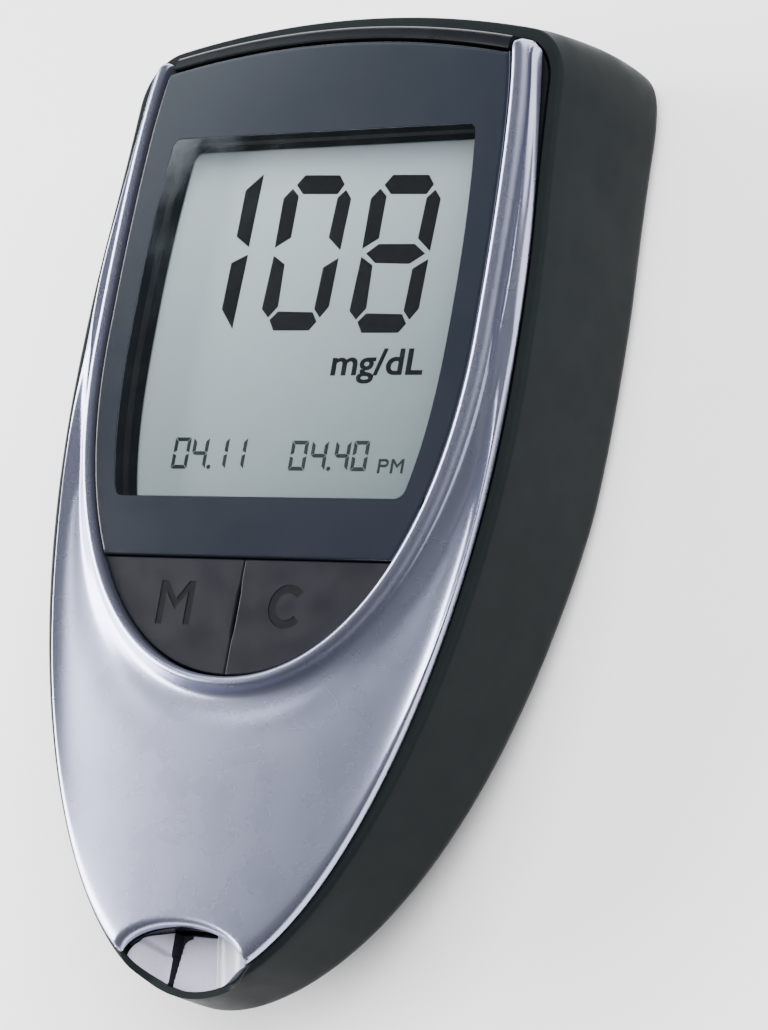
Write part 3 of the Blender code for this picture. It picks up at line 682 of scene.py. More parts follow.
def ladder(bm, loop):
    n = len(loop)
    h = n // 2
    bm.faces.new((loop[0], loop[1], loop[n - 1]))
    for i in range(1, h - 1):
        bm.faces.new((loop[i], loop[i + 1], loop[n - i - 1], loop[n - i]))
    bm.faces.new((loop[h - 1], loop[h], loop[h + 1]))


def loft(levels):
    bm = bmesh.new()
    loops = [[bm.verts.new(p) for p in level] for level in levels]
    ladder(bm, loops[0])
    for a, b in zip(loops, loops[1:]):
        bridge(bm, a, b)
    ladder(bm, loops[-1])
    return bm


def area(poly):
    return sum(x * poly[(i + 1) % len(poly)][1] - poly[(i + 1) % len(poly)][0] * y for i, (x, y) in enumerate(poly))


def inset(poly, d):
    """Move every corner of a plan polygon inward by d."""
    if not d:
        return list(poly)
    sign = 1.0 if area(poly) > 0 else -1.0
    n = len(poly)
    out = []
    for i, (x, y) in enumerate(poly):
        ax, ay = poly[i - 1]
        bx, by = poly[(i + 1) % n]
        ux, uy, vx, vy = x - ax, y - ay, bx - x, by - y
        lu, lv = hypot(ux, uy), hypot(vx, vy)
        nx, ny = -(uy / lu + vy / lv), ux / lu + vx / lv
        ln = max(nx * nx + ny * ny, 0.4)
        out.append((x + nx * 2.0 * d * sign / ln, y + ny * 2.0 * d * sign / ln))
    return out


def rings(sections):
    """Stack plan polygons at their heights: [(poly, z), ...]; z may be a function of (x, y)."""
    bm = bmesh.new()
    loops = [[bm.verts.new((x, y, z(x, y) if callable(z) else z)) for x, y in poly] for poly, z in sections]
    bm.faces.new(loops[0])
    for a, b in zip(loops, loops[1:]):
        bridge(bm, a, b)
    bm.faces.new(loops[-1])
    return bm


def slab(poly, z0, z1, r0=0.0, r1=0.0, seg=4):
    """Plate with rounded lower (r0) and upper (r1) edges."""
    sections = []
    if r0:
        for k in range(seg):
            a = pi / 2 * k / seg
            sections.append((inset(poly, r0 * (1 - sin(a))), z0 + r0 * (1 - cos(a))))
        sections.append((poly, z0 + r0))
    else:
        sections.append((poly, z0))
    if r1:
        for k in range(seg + 1):
            a = pi / 2 * k / seg
            sections.append((inset(poly, r1 * (1 - cos(a))), z1 - r1 * (1 - sin(a))))
    else:
        sections.append((poly, z1))
    return rings(sections)


def rect(x0, x1, y0, y1, r=0.0, seg=5):
    if not r:
        return [(x0, y0), (x1, y0), (x1, y1), (x0, y1)]
    out = []
    for cx, cy, a0 in ((x1 - r, y0 + r, -90), (x1 - r, y1 - r, 0), (x0 + r, y1 - r, 90), (x0 + r, y0 + r, 180)):
        for k in range(seg + 1):
            a = radians(a0 + 90.0 * k / seg)
            out.append((cx + r * cos(a), cy + r * sin(a)))
    return out


def box(x0, x1, y0, y1, z0, z1):
    return rings([(rect(x0, x1, y0, y1), z0), (rect(x0, x1, y0, y1), z1)])


def turned(profile, centre, n=64):
    """Body turned about a vertical axis; profile is (radius, z) from axis to axis."""
    bm = bmesh.new()
    cx, cy = centre
    loops = []
    for r, z in profile:
        if r == 0:
            loops.append([bm.verts.new((cx, cy, z))])
        else:
            loops.append([bm.verts.new((cx + r * cos(2 * pi * k / n), cy + r * sin(2 * pi * k / n), z))
                          for k in range(n)])
    for a, b in zip(loops, loops[1:]):
        if len(a) == 1:
            for k in range(n):
                bm.faces.new((a[0], b[k], b[(k + 1) % n]))
        elif len(b) == 1:
            for k in range(n):
                bm.faces.new((a[k], a[(k + 1) % n], b[0]))
        else:
            bridge(bm, a, b)
    return bm


def post(cx, cy, r, z0, z1, n=64):
    return turned([(0, z0), (r, z0), (r, z1), (0, z1)], (cx, cy), n)


def section_x(profile, x0, x1):
    bm = bmesh.new()
    a = [bm.verts.new((x0, y, z)) for y, z in profile]
    b = [bm.verts.new((x1, y, z)) for y, z in profile]
    bm.faces.new(a)
    bridge(bm, a, b)
    bm.faces.new(b)
    return bm


def section_y(profile, y0, y1):
    bm = bmesh.new()
    a = [bm.verts.new((x, y0, z)) for x, z in profile]
    b = [bm.verts.new((x, y1, z)) for x, z in profile]
    bm.faces.new(a)
    bridge(bm, a, b)
    bm.faces.new(b)
    return bm


def smooth01(t):
    t = min(1.0, max(0.0, t))
    return t * t * (3 - 2 * t)


def spline(points, per):
    """Catmull-Rom through (s, z) points, per samples for each span."""
    out = []
    n = len(points)
    for i in range(n - 1):
        p0 = points[max(0, i - 1)]
        p1, p2 = points[i], points[i + 1]
        p3 = points[min(n - 1, i + 2)]
        for k in range(per):
            t = k / per
            q = []
            for a, b, c, d in zip(p0, p1, p2, p3):
                q.append(0.5 * (2 * b + (c - a) * t + (2 * a - 5 * b + 4 * c - d) * t * t
                                + (3 * b - a - 3 * c + d) * t ** 3))
            out.append(tuple(q))
    out.append(points[-1])
    return out


RIM = rim_half()
BELT = rim_half(belt=True)
LENS = lens_half()


def arch_poly(grow=0.0, n=48, w=SCOOP_W, top=SCOOP_TOP_Y, bottom=-56.0):
    """Arch-shaped outline that opens at the tip."""
    depth = -46.9 - SCOOP_TOP_Y
    pts = []
    for k in range(n + 1):
        a = pi * k / n
        pts.append(((w + grow) * cos(a), top + depth - (depth - grow) * sin(a)))
    pts.append((-(w + grow), bottom))
    pts.append((w + grow, bottom))
    return pts


def dip_z(x):
    t = (abs(x) - DIP_X[0]) / (DIP_X[1] - DIP_X[0])
    return DIP_Z + (RIM_Z + 0.02 - DIP_Z) * smooth01(t)


def window_poly(grow=0.0, corner=0.9):
    """Outline of the window: barrel sides, small rounded corners."""
    y0, y1 = WINDOW_Y[0] - grow, WINDOW_Y[1] + grow
    right = []
    n = 36
    for k in range(n + 1):
        y = y0 + (y1 - y0) * k / n
        u = y - WINDOW_WIDE_Y
        narrow = WINDOW_TAPER[0] * (u / 15.0) ** 2 if u > 0 else WINDOW_TAPER[1] * (-u / 20.0) ** 3
        near = min(y - y0, y1 - y)
        pull = 0.0
        if near < corner:
            pull = corner - sqrt(max(0.0, corner ** 2 - (corner - near) ** 2))
        right.append((WINDOW_W - narrow + grow - pull, y))
    fine = []
    for end, first in ((y0, True), (y1, False)):
        part = []
        for k in range(7):
            a = pi / 2 * k / 6
            near = corner * (1 - cos(a)) if first else corner * (1 - cos(pi / 2 - a))
            y = y0 + near if first else y1 - near
            u = y - WINDOW_WIDE_Y
            narrow = WINDOW_TAPER[0] * (u / 15.0) ** 2 if u > 0 else WINDOW_TAPER[1] * (-u / 20.0) ** 3
            pull = corner - sqrt(max(0.0, corner ** 2 - (corner - near) ** 2))
            part.append((WINDOW_W - narrow + grow - pull, y))
        fine.append(part)
    middle = [p for p in right if y0 + corner < p[1] < y1 - corner]
    side = fine[0] + middle + fine[1]
    return side + [(-x, y) for x, y in reversed(side)]


# ================================================================ rear housing
def shell_levels(solid=False):
    """Loops up the outside of the shell and, unless solid, down its inside."""
    rim, belt = full(RIM), full(BELT)

    def level(ins, height, absolute=False, outline=BELT):
        half = offset_half(outline, ins)
        for i in range(1, len(half)):
            half[i] = (half[i][0], min(half[i][1], half[i - 1][1] - 1e-4))
        return [(x, y, height if absolute else back_z(y) + height) for x, y in full(half)]

    def inner(ins, height, follow):
        out = []
        for (x, y), (ax, ay), (bx, by) in zip(full(offset_half(RIM, ins)), rim, belt):
            x, y = x + follow * (bx - ax), y + follow * (by - ay)
            out.append((x, y, back_z(y) + height))
        return out

    r, ro, ri = BACK_EDGE_R, 0.5, 0.22
    out = []
    if not solid:
        out.append(level(WALL, RIM_Z - ri, True, RIM))
        for k in range(1, 4):
            a = pi / 2 * k / 3
            out.append(level(WALL - ri * (1 - cos(a)), RIM_Z - ri * (1 - sin(a)), True, RIM))
    for k in range(0, 6):
        a = pi / 2 * k / 5
        out.append(level(ro * (1 - sin(a)), RIM_Z - ro * (1 - cos(a)), True, RIM))
    steps = 14
    for n in range(1, steps + 1):
        s = 0.05 + 0.95 * n / steps
        k = 1.0 - (1.0 - s) ** BELT_POWER
        loop = []
        for (ax, ay), (bx, by) in zip(rim, belt):
            x, y = ax + k * (bx - ax), ay + k * (by - ay)
            loop.append((x, y, RIM_Z + s * (back_z(y) + r - RIM_Z)))
        out.append(loop)
    steps = 9
    for k in range(1, steps + 1):
        a = pi / 2 * k / steps
        out.append(level(r * (1 - cos(a)), r * (1 - sin(a))))
    if solid:
        return out
    inside = [inner(WALL, FLOOR + 1.7, 0.5), inner(WALL + 0.45, FLOOR + 0.5, 0.5), inner(WALL + 1.2, FLOOR, 0.2)]
    return list(reversed(out[1:])) + [out[0]] + inside


def chamfered_cut(poly, z0, z1, c):
    """Cutter that enters from below with a small chamfer round its mouth at z = 0."""
    return rings([(inset(poly, -c), z0), (inset(poly, -c), 0.0), (poly, c), (poly, z1)])


def build_rear():
    rear = mesh_object("case_rear", loft(shell_levels()), "housing")
    steps = [(JOIN, box(-15.3, 15.3, 10.4, 49.4, 0.6, 3.3)),
             (JOIN, box(-14.2, 14.2, 13.0, 39.0, 2.0, 8.0))]
    for sx, sy in CASE_SCREWS:
        steps.append((JOIN, post(sx, sy, 2.6, back_z(sy) + 0.7, BOARD_Z[1] - 0.05)))
    steps.append((CUT, chamfered_cut(rect(-DOOR_X - GAP, DOOR_X + GAP, DOOR_Y - GAP, 56.0, 0.5), -2.0,
                                     DOOR_T + GAP, 0.22)))
    steps.append((CUT, post(*CELL_POS, CELL_R + 0.7, -1.0, 6.8, 96)))
    for s in (-1, 1):
        a, b = sorted((s * TONGUE_X[0] - s * GAP, s * TONGUE_X[1] + s * GAP))
        steps.append((CUT, box(a, b, 11.6, 14.95 + DOOR_TRAVEL + 0.5, 1.5, 2.9)))
    steps.append((CUT, box(10.4, 11.9, 24.0, 28.0, 1.6, 9.0)))
    steps.append((CUT, box(-8.5, -7.1, 24.0, 28.0, 5.0, 9.0)))
    steps.append((CUT, chamfered_cut(rect(-15.3, 15.3, 2.8, 11.0, 1.2), -1.0, 0.55, 0.12)))
    xs = [-DIP_X[1] + 2 * DIP_X[1] * k / 72 for k in range(73)]
    dip = [(x, dip_z(x)) for x in xs] + [(DIP_X[1], 26.0), (-DIP_X[1], 26.0)]
    steps.append((CUT, section_y(dip, -56.0, -44.0)))
    rebate = clip(full(offset_half(RIM, LIP)), 1, -44.0, False)
    rebate = clip(clip(rebate, 0, SCOOP_W + 0.1, False), 0, -SCOOP_W - 0.1, True)
    steps.append((CUT, rings([(rebate, SCOOP_Z), (rebate, 26.0)])))
    for sx, sy in CASE_SCREWS:
        seat = 4.6 if sy > 0 else 6.6
        mouth = back_z(sy)
        steps.append((CUT, turned([(0, -2.0), (2.05, -2.0), (2.05, seat), (1.3, seat), (1.3, 14.0), (0, 14.0)],
                                  (sx, sy), 56)))
        steps.append((CUT, turned([(0, mouth - 1.0), (3.05, mouth - 1.0), (2.0, mouth + 0.28), (0, mouth + 0.28)],
                                  (sx, sy), 56)))
    carve(rear, steps)
    finish_normals(rear, 28)
    return place(rear, "case", "housing", "rear_housing")


# ================================================================ battery door
def build_door():
    c = 0.2
    poly = rect(-DOOR_X, DOOR_X, DOOR_Y, 56.0, 0.4)
    door = mesh_object("case_battery_door",
                       rings([(inset(poly, c), -1.0), (inset(poly, c), 0.0), (poly, c), (poly, DOOR_T)]), "housing")
    steps = [(KEEP, loft(shell_levels(solid=True)))]
    for s in (-1, 1):
        a, b = sorted((s * TONGUE_X[0], s * TONGUE_X[1]))
        steps.append((JOIN, section_x([(14.25, 1.0), (14.95, 1.0), (14.95, 2.6), (12.45, 2.6), (12.2, 2.35),
                                       (12.2, 1.8), (14.25, 1.8)], a, b)))
    # fine grip ribs in a shallow panel, and a plain opening arrow
    for k in range(7):
        y = 18.6 + 1.0 * k
        w = 6.4 - 0.12 * abs(k - 3) ** 2
        prof = [(y - 0.32, -0.5), (y + 0.32, -0.5), (y + 0.32, 0.0), (y + 0.12, 0.42), (y - 0.12, 0.42), (y - 0.32, 0.0)]
        steps.append((CUT, section_x(prof, -w, w)))
    arrow = [(-1.9, 28.3), (1.9, 28.3), (0.0, 31.3)]
    steps.append((CUT, rings([(inset(arrow, -0.1), -0.5), (inset(arrow, -0.1), 0.0), (arrow, 0.25)])))
    carve(door, steps)
    finish_normals(door, 28)
    return place(door, "battery_door_body", "housing", "battery_door")


# ================================================================ front chassis
def top_band():
    """Rounded bar between the lens and the rim at the display end."""
    bm = bmesh.new()
    loops = []
    n = 64
    for k in range(n + 1):
        x = -20.0 + 40.0 * k / n
        lower = LENS_TOP_Y - LENS_TOP_R + sqrt(LENS_TOP_R ** 2 - x * x) + 0.30
        upper = HALF_LENGTH - WALL - GAP - RIM_TOP_R + sqrt(RIM_TOP_R ** 2 - x * x)
        prof = [(lower, 17.6), (lower, 20.30), (lower + 0.05, 20.48), (lower + 0.18, 20.58), (lower + 0.36, 20.60),
                (upper - 0.62, 20.42), (upper - 0.34, 20.28), (upper - 0.12, 20.05), (upper, 19.7), (upper, 17.6)]
        loops.append([bm.verts.new((x, y, z)) for y, z in prof])
    bm.faces.new(loops[0])
    for a, b in zip(loops, loops[1:]):
        bridge(bm, a, b)
    bm.faces.new(loops[-1])
    return bm


def window_wall(c, n):
    return abs(n.z) < 0.8 and abs(c[0]) < 19.4 and WINDOW_Y[0] - 0.8 < c[1] < WINDOW_Y[1] + 0.8 and c[2] > 16.5


def build_chassis():
    def deck(ins, z):
        return [(x, y, z) for x, y in full(offset_half(RIM, ins))]

    levels = [deck(WALL + GAP + 1.0, PLATE_Z[0]), deck(WALL + GAP + 1.0, 14.5), deck(WALL + GAP, 14.5),
              deck(WALL + GAP, PLATE_Z[1])]
    chassis = mesh_object("inner_chassis", loft(levels), "trim")
    steps = [(JOIN, top_band())]
    for sx, sy in CASE_SCREWS:
        steps.append((JOIN, post(sx, sy, 2.4, BOARD_Z[1] + 0.3, PLATE_Z[0] + 0.4, 40)))
    for sx, sy in BOARD_SCREWS:
        steps.append((JOIN, post(sx, sy, 2.0, BOARD_Z[1] + 0.3, PLATE_Z[0] + 0.4, 40)))
    steps.append((CUT, rings([(window_poly(), 12.0), (window_poly(), 24.0)])))
    hole = clip(full(offset_half(LENS, -0.15)), 1, KEY_LINE_Y + 0.15, False)
    steps.append((CUT, rings([(hole, 12.0), (hole, 24.0)])))
    steps.append((CUT, box(-5.4, 5.4, -43.2, -32.4, 12.0, 24.0)))
    steps.append((CUT, rings([(arch_poly(), PLATE_Z[0] - 0.3), (arch_poly(), 26.0)])))
    steps.append((CUT, rings([(arch_poly(-0.3), SCOOP_Z - 0.6), (arch_poly(-0.3), 26.0)])))
    for sx, sy in CASE_SCREWS:
        steps.append((CUT, post(sx, sy, 1.3, 11.0, 16.4, 24)))
    for sx, sy in BOARD_SCREWS:
        steps.append((CUT, post(sx, sy, 1.1, 11.0, 16.2, 24)))
    carve(chassis, steps)
    finish_normals(chassis, 30)
    second_finish(chassis, "wall", window_wall)
    return place(chassis, "case", "housing", "front_chassis")


# ================================================================ silver front frame
# The section outside the bead, for several reaches of the frame. Each pair is
# (distance outward from the lens outline, height over the lens plane).
PROFILES = (
    (3.4, ((1.46, -0.36), (1.62, -0.60), (1.80, -0.82), (1.98, -0.83), (2.22, -0.66), (2.46, -0.53), (2.66, -0.54),
           (2.92, -0.84), (3.18, -1.24), (3.40, -1.85))),
    (4.4, ((1.46, -0.36), (1.66, -0.66), (1.88, -0.90), (2.12, -0.88), (2.42, -0.68), (2.74, -0.60), (3.10, -0.80),
           (3.60, -1.22), (4.08, -1.48), (4.40, -1.85))),
    (6.0, ((1.46, -0.36), (1.70, -0.70), (1.96, -0.94), (2.26, -0.92), (2.66, -0.80), (3.20, -0.86), (4.00, -1.12),
           (5.05, -1.16), (5.70, -1.34), (6.00, -1.85))),
    (9.0, ((1.46, -0.36), (1.74, -0.70), (2.08, -0.94), (2.55, -1.06), (3.15, -1.12), (4.10, -1.15), (5.50, -1.10),
           (7.90, -0.97), (8.65, -1.17), (9.00, -1.85))),
    (14.0, ((1.46, -0.36), (1.76, -0.70), (2.18, -0.95), (2.80, -1.10), (3.80, -1.18), (5.40, -1.17), (8.00, -1.05),
            (12.4, -1.00), (13.55, -1.20), (14.0, -1.85))),
    (20.0, ((1.46, -0.36), (1.76, -0.70), (2.18, -0.96), (2.80, -1.12), (3.90, -1.22), (6.00, -1.21), (11.0, -1.05),
            (17.6, -1.00), (19.4, -1.18), (20.0, -1.85))),
    (31.0, ((1.46, -0.36), (1.76, -0.70), (2.18, -0.96), (2.80, -1.12), (3.90, -1.23), (6.00, -1.23), (11.0, -1.08),
            (26.5, -0.95), (30.2, -1.12), (31.0, -1.85))),
)
BEAD = ((0.12, -2.05), (0.12, -0.30), (0.14, 0.08), (0.20, 0.25), (0.32, 0.39), (0.46, 0.46), (0.63, 0.478),
        (0.79, 0.455), (0.95, 0.375), (1.09, 0.24), (1.22, 0.05), (1.34, -0.15))


def section_for(reach):
    reach = min(31.0, max(3.4, reach))
    for (w0, a), (w1, b) in zip(PROFILES, PROFILES[1:]):
        if reach <= w1:
            t = (reach - w0) / (w1 - w0)
            return [(p[0] + t * (q[0] - p[0]), p[1] + t * (q[1] - p[1])) for p, q in zip(a, b)]
    return list(PROFILES[-1][1])


def frame_stations():
    n1, n2 = 64, 120
    inner = side_curve((20.42, 45.3), LENS_WIDE, LENS_BOTTOM_Y, (0.24, 7.5, 2.0, 21.4, 13.0), n1, n2)
    outer = side_curve(FRAME_TOP, FRAME_WIDE, FRAME_BOTTOM_Y, FRAME_HANDLES, n1, n2)
    n = len(inner)
    raw = []
    for i in range(n):
        ax, ay = inner[max(0, i - 1)]
        bx, by = inner[min(n - 1, i + 1)]
        if i == n - 1:
            nx, ny = 0.0, -1.0
        else:
            length = hypot(bx - ax, by - ay)
            nx, ny = -(by - ay) / length, (bx - ax) / length
        px, py = inner[i]
        ox, oy = outer[i]
        raw.append((px, py, nx, ny, ox, oy, section_for(hypot(ox - px, oy - py))))
    stations = []
    for i in range(n):
        px, py, nx, ny, ox, oy, sec = raw[i]
        # average the section over its neighbours, so that the knots leave no crease
        span_ = 5
        lo, hi = max(0, i - span_), min(n - 1, i + span_)
        acc = [[0.0, 0.0] for _ in sec]
        for j in range(lo, hi + 1):
            for a, p in zip(acc, raw[j][6]):
                a[0] += p[0] / (hi - lo + 1)
                a[1] += p[1] / (hi - lo + 1)
        reach = hypot(ox - px, oy - py)
        line = spline([tuple(p) for p in acc], 6)
        far = line[-1][0]
        pts = [(px + nx * s, py + ny * s, LENS_PLANE + z) for s, z in BEAD]
        turn = 1.65
        for s, z in line:
            if s <= turn:
                x, y = px + nx * s, py + ny * s
            else:
                f = (s - turn) / (far - turn)
                vx, vy = px + nx * turn, py + ny * turn
                x, y = vx + f * (ox - vx), vy + f * (oy - vy)
            f = min(1.0, max(0.0, (s - turn) / (far - turn)))
            crown = 0.42 * (1.0 - (x / 13.5) ** 2) * smooth01((s - 1.9) / 3.4) * (1.0 - f ** 7)
            crown *= smooth01((far - 6.0) / 6.0)
            pts.append((x, y, LENS_PLANE + z + crown))
        pts.append((ox, oy, 18.82))
        stations.append(pts)
    # rounded ends at the display end: the section sinks and shortens over the last stretch
    run = 1.3
    base_y = stations[0][0][1]
    for i, pts in enumerate(stations):
        d = base_y - raw[i][1]
        if d >= run:
            break
        t = 1.0 - d / run
        drop = 1.0 - sqrt(max(0.0, 1.0 - t * t))
        stations[i] = [(x, y, z if z < 19.0 else z - drop * 1.15 * min(1.0, (z - 18.9) / 1.2)) for x, y, z in pts]
    return stations


def build_frame():
    stations = frame_stations()
    bm = bmesh.new()
    ordered = [[(-x, y, z) for x, y, z in st] for st in stations[:-1]] + list(reversed(stations))
    loops = [[bm.verts.new(p) for p in st] for st in ordered]
    bm.faces.new(loops[0])
    for a, b in zip(loops, loops[1:]):
        bridge(bm, a, b)
    bm.faces.new(loops[-1])
    silver = mesh_object("silver_frame", bm, "frame", smooth=38)
    # arch over the strip port, with an edge that rolls over into it
    probe = bmesh.new()
    probe.from_mesh(silver.data)
    tree = BVHTree.FromBMesh(probe)

    def skin(x, y):
        hit = tree.ray_cast(Vector((x * MM, (y + SHIFT_Y) * MM, 0.03)), Vector((0, 0, -1)))
        return hit[0].z / MM if hit[0] is not None else 19.1

    r = 1.05
    sections = [(arch_poly(), SCOOP_Z)]
    seg = 7
    for k in range(seg + 1):
        a = pi / 2 * k / seg
        sections.append((arch_poly(r * (1 - cos(a))), lambda x, y, a=a: skin(x, y) - r * (1 - sin(a)) + 0.012))
    sections.append((arch_poly(r + 0.02), 26.0))
    probe.free()
    carve(silver, [(CUT, rings(sections))])
    finish_normals(silver, 36)
    return place(silver, "case", "silver_frame", "front_frame")


# ================================================================ lens and display
def polar_cast(poly, centre, angles, nearest=False):
    """Where rays from the centre leave a loop that is star-shaped about it."""
    cx, cy = centre
    out = []
    for t in angles:
        dx, dy = cos(t), sin(t)
        best = None
        for i, (ax, ay) in enumerate(poly):
            bx, by = poly[(i + 1) % len(poly)]
            ex, ey = bx - ax, by - ay
            den = dx * ey - dy * ex
            if abs(den) < 1e-12:
                continue
            wx, wy = ax - cx, ay - cy
            r = (wx * ey - wy * ex) / den
            u = (wx * dy - wy * dx) / den
            if r > 0 and -1e-6 <= u <= 1 + 1e-6 and (best is None or (r < best) == nearest):
                best = r
        out.append((cx + best * dx, cy + best * dy))
    return out


def ring_plate(outline, hole, z0, z1, r1, bevel, seg=5):
    """Flat ring between an outline and a hole, with a rounded upper outer edge."""
    centre = (0.0, 18.0)
    angles = sorted(atan2(y - centre[1], x - centre[0]) for x, y in list(outline) + list(hole))
    clean = []
    for a in angles:
        if not clean or a - clean[-1] > 0.0015:
            clean.append(a)
    outer = polar_cast(outline, centre, clean)
    inner = polar_cast(hole, centre, clean)
    loops = [(outer, z0)]
    if r1:
        for k in range(seg + 1):
            a = pi / 2 * k / seg
            loops.append((polar_cast(inset(outline, r1 * (1 - cos(a))), centre, clean, True), z1 - r1 * (1 - sin(a))))
        loops.append((polar_cast(inset(outline, r1 + 0.12), centre, clean, True), z1))
    else:
        loops.append((outer, z1))
    if bevel:
        loops.append((inset(inner, -bevel - 0.12), z1))
        loops.append((inset(inner, -bevel), z1))
        loops.append((inner, z1 - bevel))
    else:
        loops.append((inner, z1))
    loops.append((inner, z0))
    bm = bmesh.new()
    made = [[bm.verts.new((x, y, z)) for x, y in poly] for poly, z in loops]
    for a, b in zip(made, made[1:] + made[:1]):
        bridge(bm, a, b)
    return bm


def build_lens():
    plan = clip(full(offset_half(LENS, 0.12)), 1, KEY_LINE_Y + 0.05, True)
    lens = mesh_object("lens_border", ring_plate(plan, window_poly(), 19.35, LENS_Z, 0.30, 0.05), "lens", smooth=30)
    finish_normals(lens, 30)
    second_finish(lens, "wall", window_wall)
    place(lens, "case", "display_lens", "display_lens")
    pane = mesh_object("lens_window", rings([(window_poly(-0.01), 20.72), (window_poly(-0.01), LENS_Z - 0.004)]),
                       "window", smooth=30)
    place(pane, "case", "display_lens", "display_lens")
    tape = mesh_object("lens_seal", ring_plate(clip(full(offset_half(LENS, 0.7)), 1, KEY_LINE_Y + 0.7, True),
                                               window_poly(0.03), 18.33, 19.33, 0.0, 0.0), "tape", smooth=30)
    finish_normals(tape, 30)
    place(tape, "case", "black_tape", "lens_tape")


# seven bars, in the order top, upper left, upper right, middle, lower left, lower right, bottom
BARS = (
    ((5.78, 32.38), (6.61, 33.42), (10.84, 33.24), (11.59, 32.23), (10.95, 31.21), (6.73, 31.37)),
    ((5.38, 32.0), (6.26, 31.17), (6.24, 26.69), (4.47, 25.64), (4.45, 30.99)),
    ((11.89, 31.63), (12.68, 30.67), (12.48, 25.16), (10.83, 26.55), (11.03, 30.82)),
    ((5.05, 25.12), (6.36, 26.09), (10.58, 25.97), (11.98, 24.92), (10.33, 23.89), (6.29, 24.08)),
    ((4.55, 24.8), (6.06, 23.83), (6.21, 19.31), (5.22, 18.16), (4.28, 19.09)),
    ((12.46, 24.33), (12.35, 19.19), (11.47, 18.05), (10.64, 18.97), (10.8, 23.37)),
    ((5.46, 17.9), (6.31, 18.8), (10.52, 18.64), (11.18, 17.64), (10.44, 16.71), (6.15, 16.77)),
)
ONE = (
    ((-9.15, 34.15), (-11.06, 32.45), (-11.11, 27.4), (-9.34, 26.22)),
    ((-9.26, 25.41), (-11.15, 24.55), (-11.25, 19.56), (-9.51, 17.42)),
)
# which bars each figure lights
LIT = {"0": (0, 1, 2, 4, 5, 6), "1": (2, 5), "4": (1, 2, 3, 5), "8": (0, 1, 2, 3, 4, 5, 6)}


def small_bars(x0, x1, y0, y1, t):
    """Seven slim bars in a box of that size, with mitred ends."""
    g = 0.07
    ym = (y0 + y1) / 2
    h = t / 2
    return (
        ((x0 + g, y1), (x1 - g, y1), (x1 - t, y1 - t), (x0 + t, y1 - t)),
        ((x0, y1 - g), (x0 + t, y1 - t - g), (x0 + t, ym + h + g * 0.5), (x0, ym + g)),
        ((x1, y1 - g), (x1, ym + g), (x1 - t, ym + h + g * 0.5), (x1 - t, y1 - t - g)),
        ((x0 + g, ym), (x0 + t, ym + h), (x1 - t, ym + h), (x1 - g, ym), (x1 - t, ym - h), (x0 + t, ym - h)),
        ((x0, ym - g), (x0 + t, ym - h - g * 0.5), (x0 + t, y0 + t + g), (x0, y0 + g)),
        ((x1, ym - g), (x1, y0 + g), (x1 - t, y0 + t + g), (x1 - t, ym - h - g * 0.5)),
        ((x0 + g, y0), (x0 + t, y0 + t), (x1 - t, y0 + t), (x1 - g, y0)),
    )


def bars_object(name, polys, mat, z0=LCD_Z + 0.002, z1=LCD_Z + 0.03):
    bm = bmesh.new()
    for poly in polys:
        pts = list(poly)
        if area(pts) < 0:
            pts.reverse()
        low = [bm.verts.new((x, y, z0)) for x, y in pts]
        top = [bm.verts.new((x, y, z1)) for x, y in pts]
        bm.faces.new(list(reversed(low)))
        bridge(bm, low, top)
        bm.faces.new(top)
    return mesh_object(name, bm, mat, smooth=None)


def lettering(name, text, x0, x1, base, cap, weight, mat):
    """Generic unit or time mark, fitted between x0 and x1 on its baseline."""
    curve = bpy.data.curves.new(name + "_text", "FONT")
    curve.body = text
    curve.size = 1.0
    curve.offset = weight
    curve.extrude = 0.01
    curve.resolution_u = 6
    holder = bpy.data.objects.new(name + "_text", curve)
    bpy.context.scene.collection.objects.link(holder)
    graph = bpy.context.evaluated_depsgraph_get()
    graph.update()
    mesh = bpy.data.meshes.new_from_object(holder.evaluated_get(graph), depsgraph=graph)
    bpy.data.objects.remove(holder)
    bpy.data.curves.remove(curve)
    xs = [v.co.x for v in mesh.vertices]
    ys = [v.co.y for v in mesh.vertices]
    lx, hx = min(xs), max(xs)
    hy = max(ys)
    kx = (x1 - x0) / (hx - lx)
    ky = (cap - base) / hy
    bm = bmesh.new()
    bm.from_mesh(mesh)
    bpy.data.meshes.remove(mesh)
    for v in bm.verts:
        v.co = (x0 + (v.co.x - lx) * kx, base + v.co.y * ky, LCD_Z + 0.002 + (0.028 if v.co.z > 0 else 0.0))
    return mesh_object(name, bm, mat, smooth=None, weld=0.002)


def glyph_p(x0, x1, y0, y1, t, n=10):
    """Stem, and the bowl beside it."""
    ym = y0 + 0.42 * (y1 - y0)
    r = (y1 - ym) / 2
    cx, cy = x1 - r, (y1 + ym) / 2
    arc = [radians(90 - 180 * k / n) for k in range(n + 1)]
    left = x0 + t + 0.01
    bowl = [(left, y1)] + [(cx + r * cos(a), cy + r * sin(a)) for a in arc] + [(left, ym), (left, ym + t)]
    bowl += [(cx + (r - t) * cos(a), cy + (r - t) * sin(a)) for a in reversed(arc)] + [(left, y1 - t)]
    return [[(x0, y0), (x0 + t, y0), (x0 + t, y1), (x0, y1)], bowl]


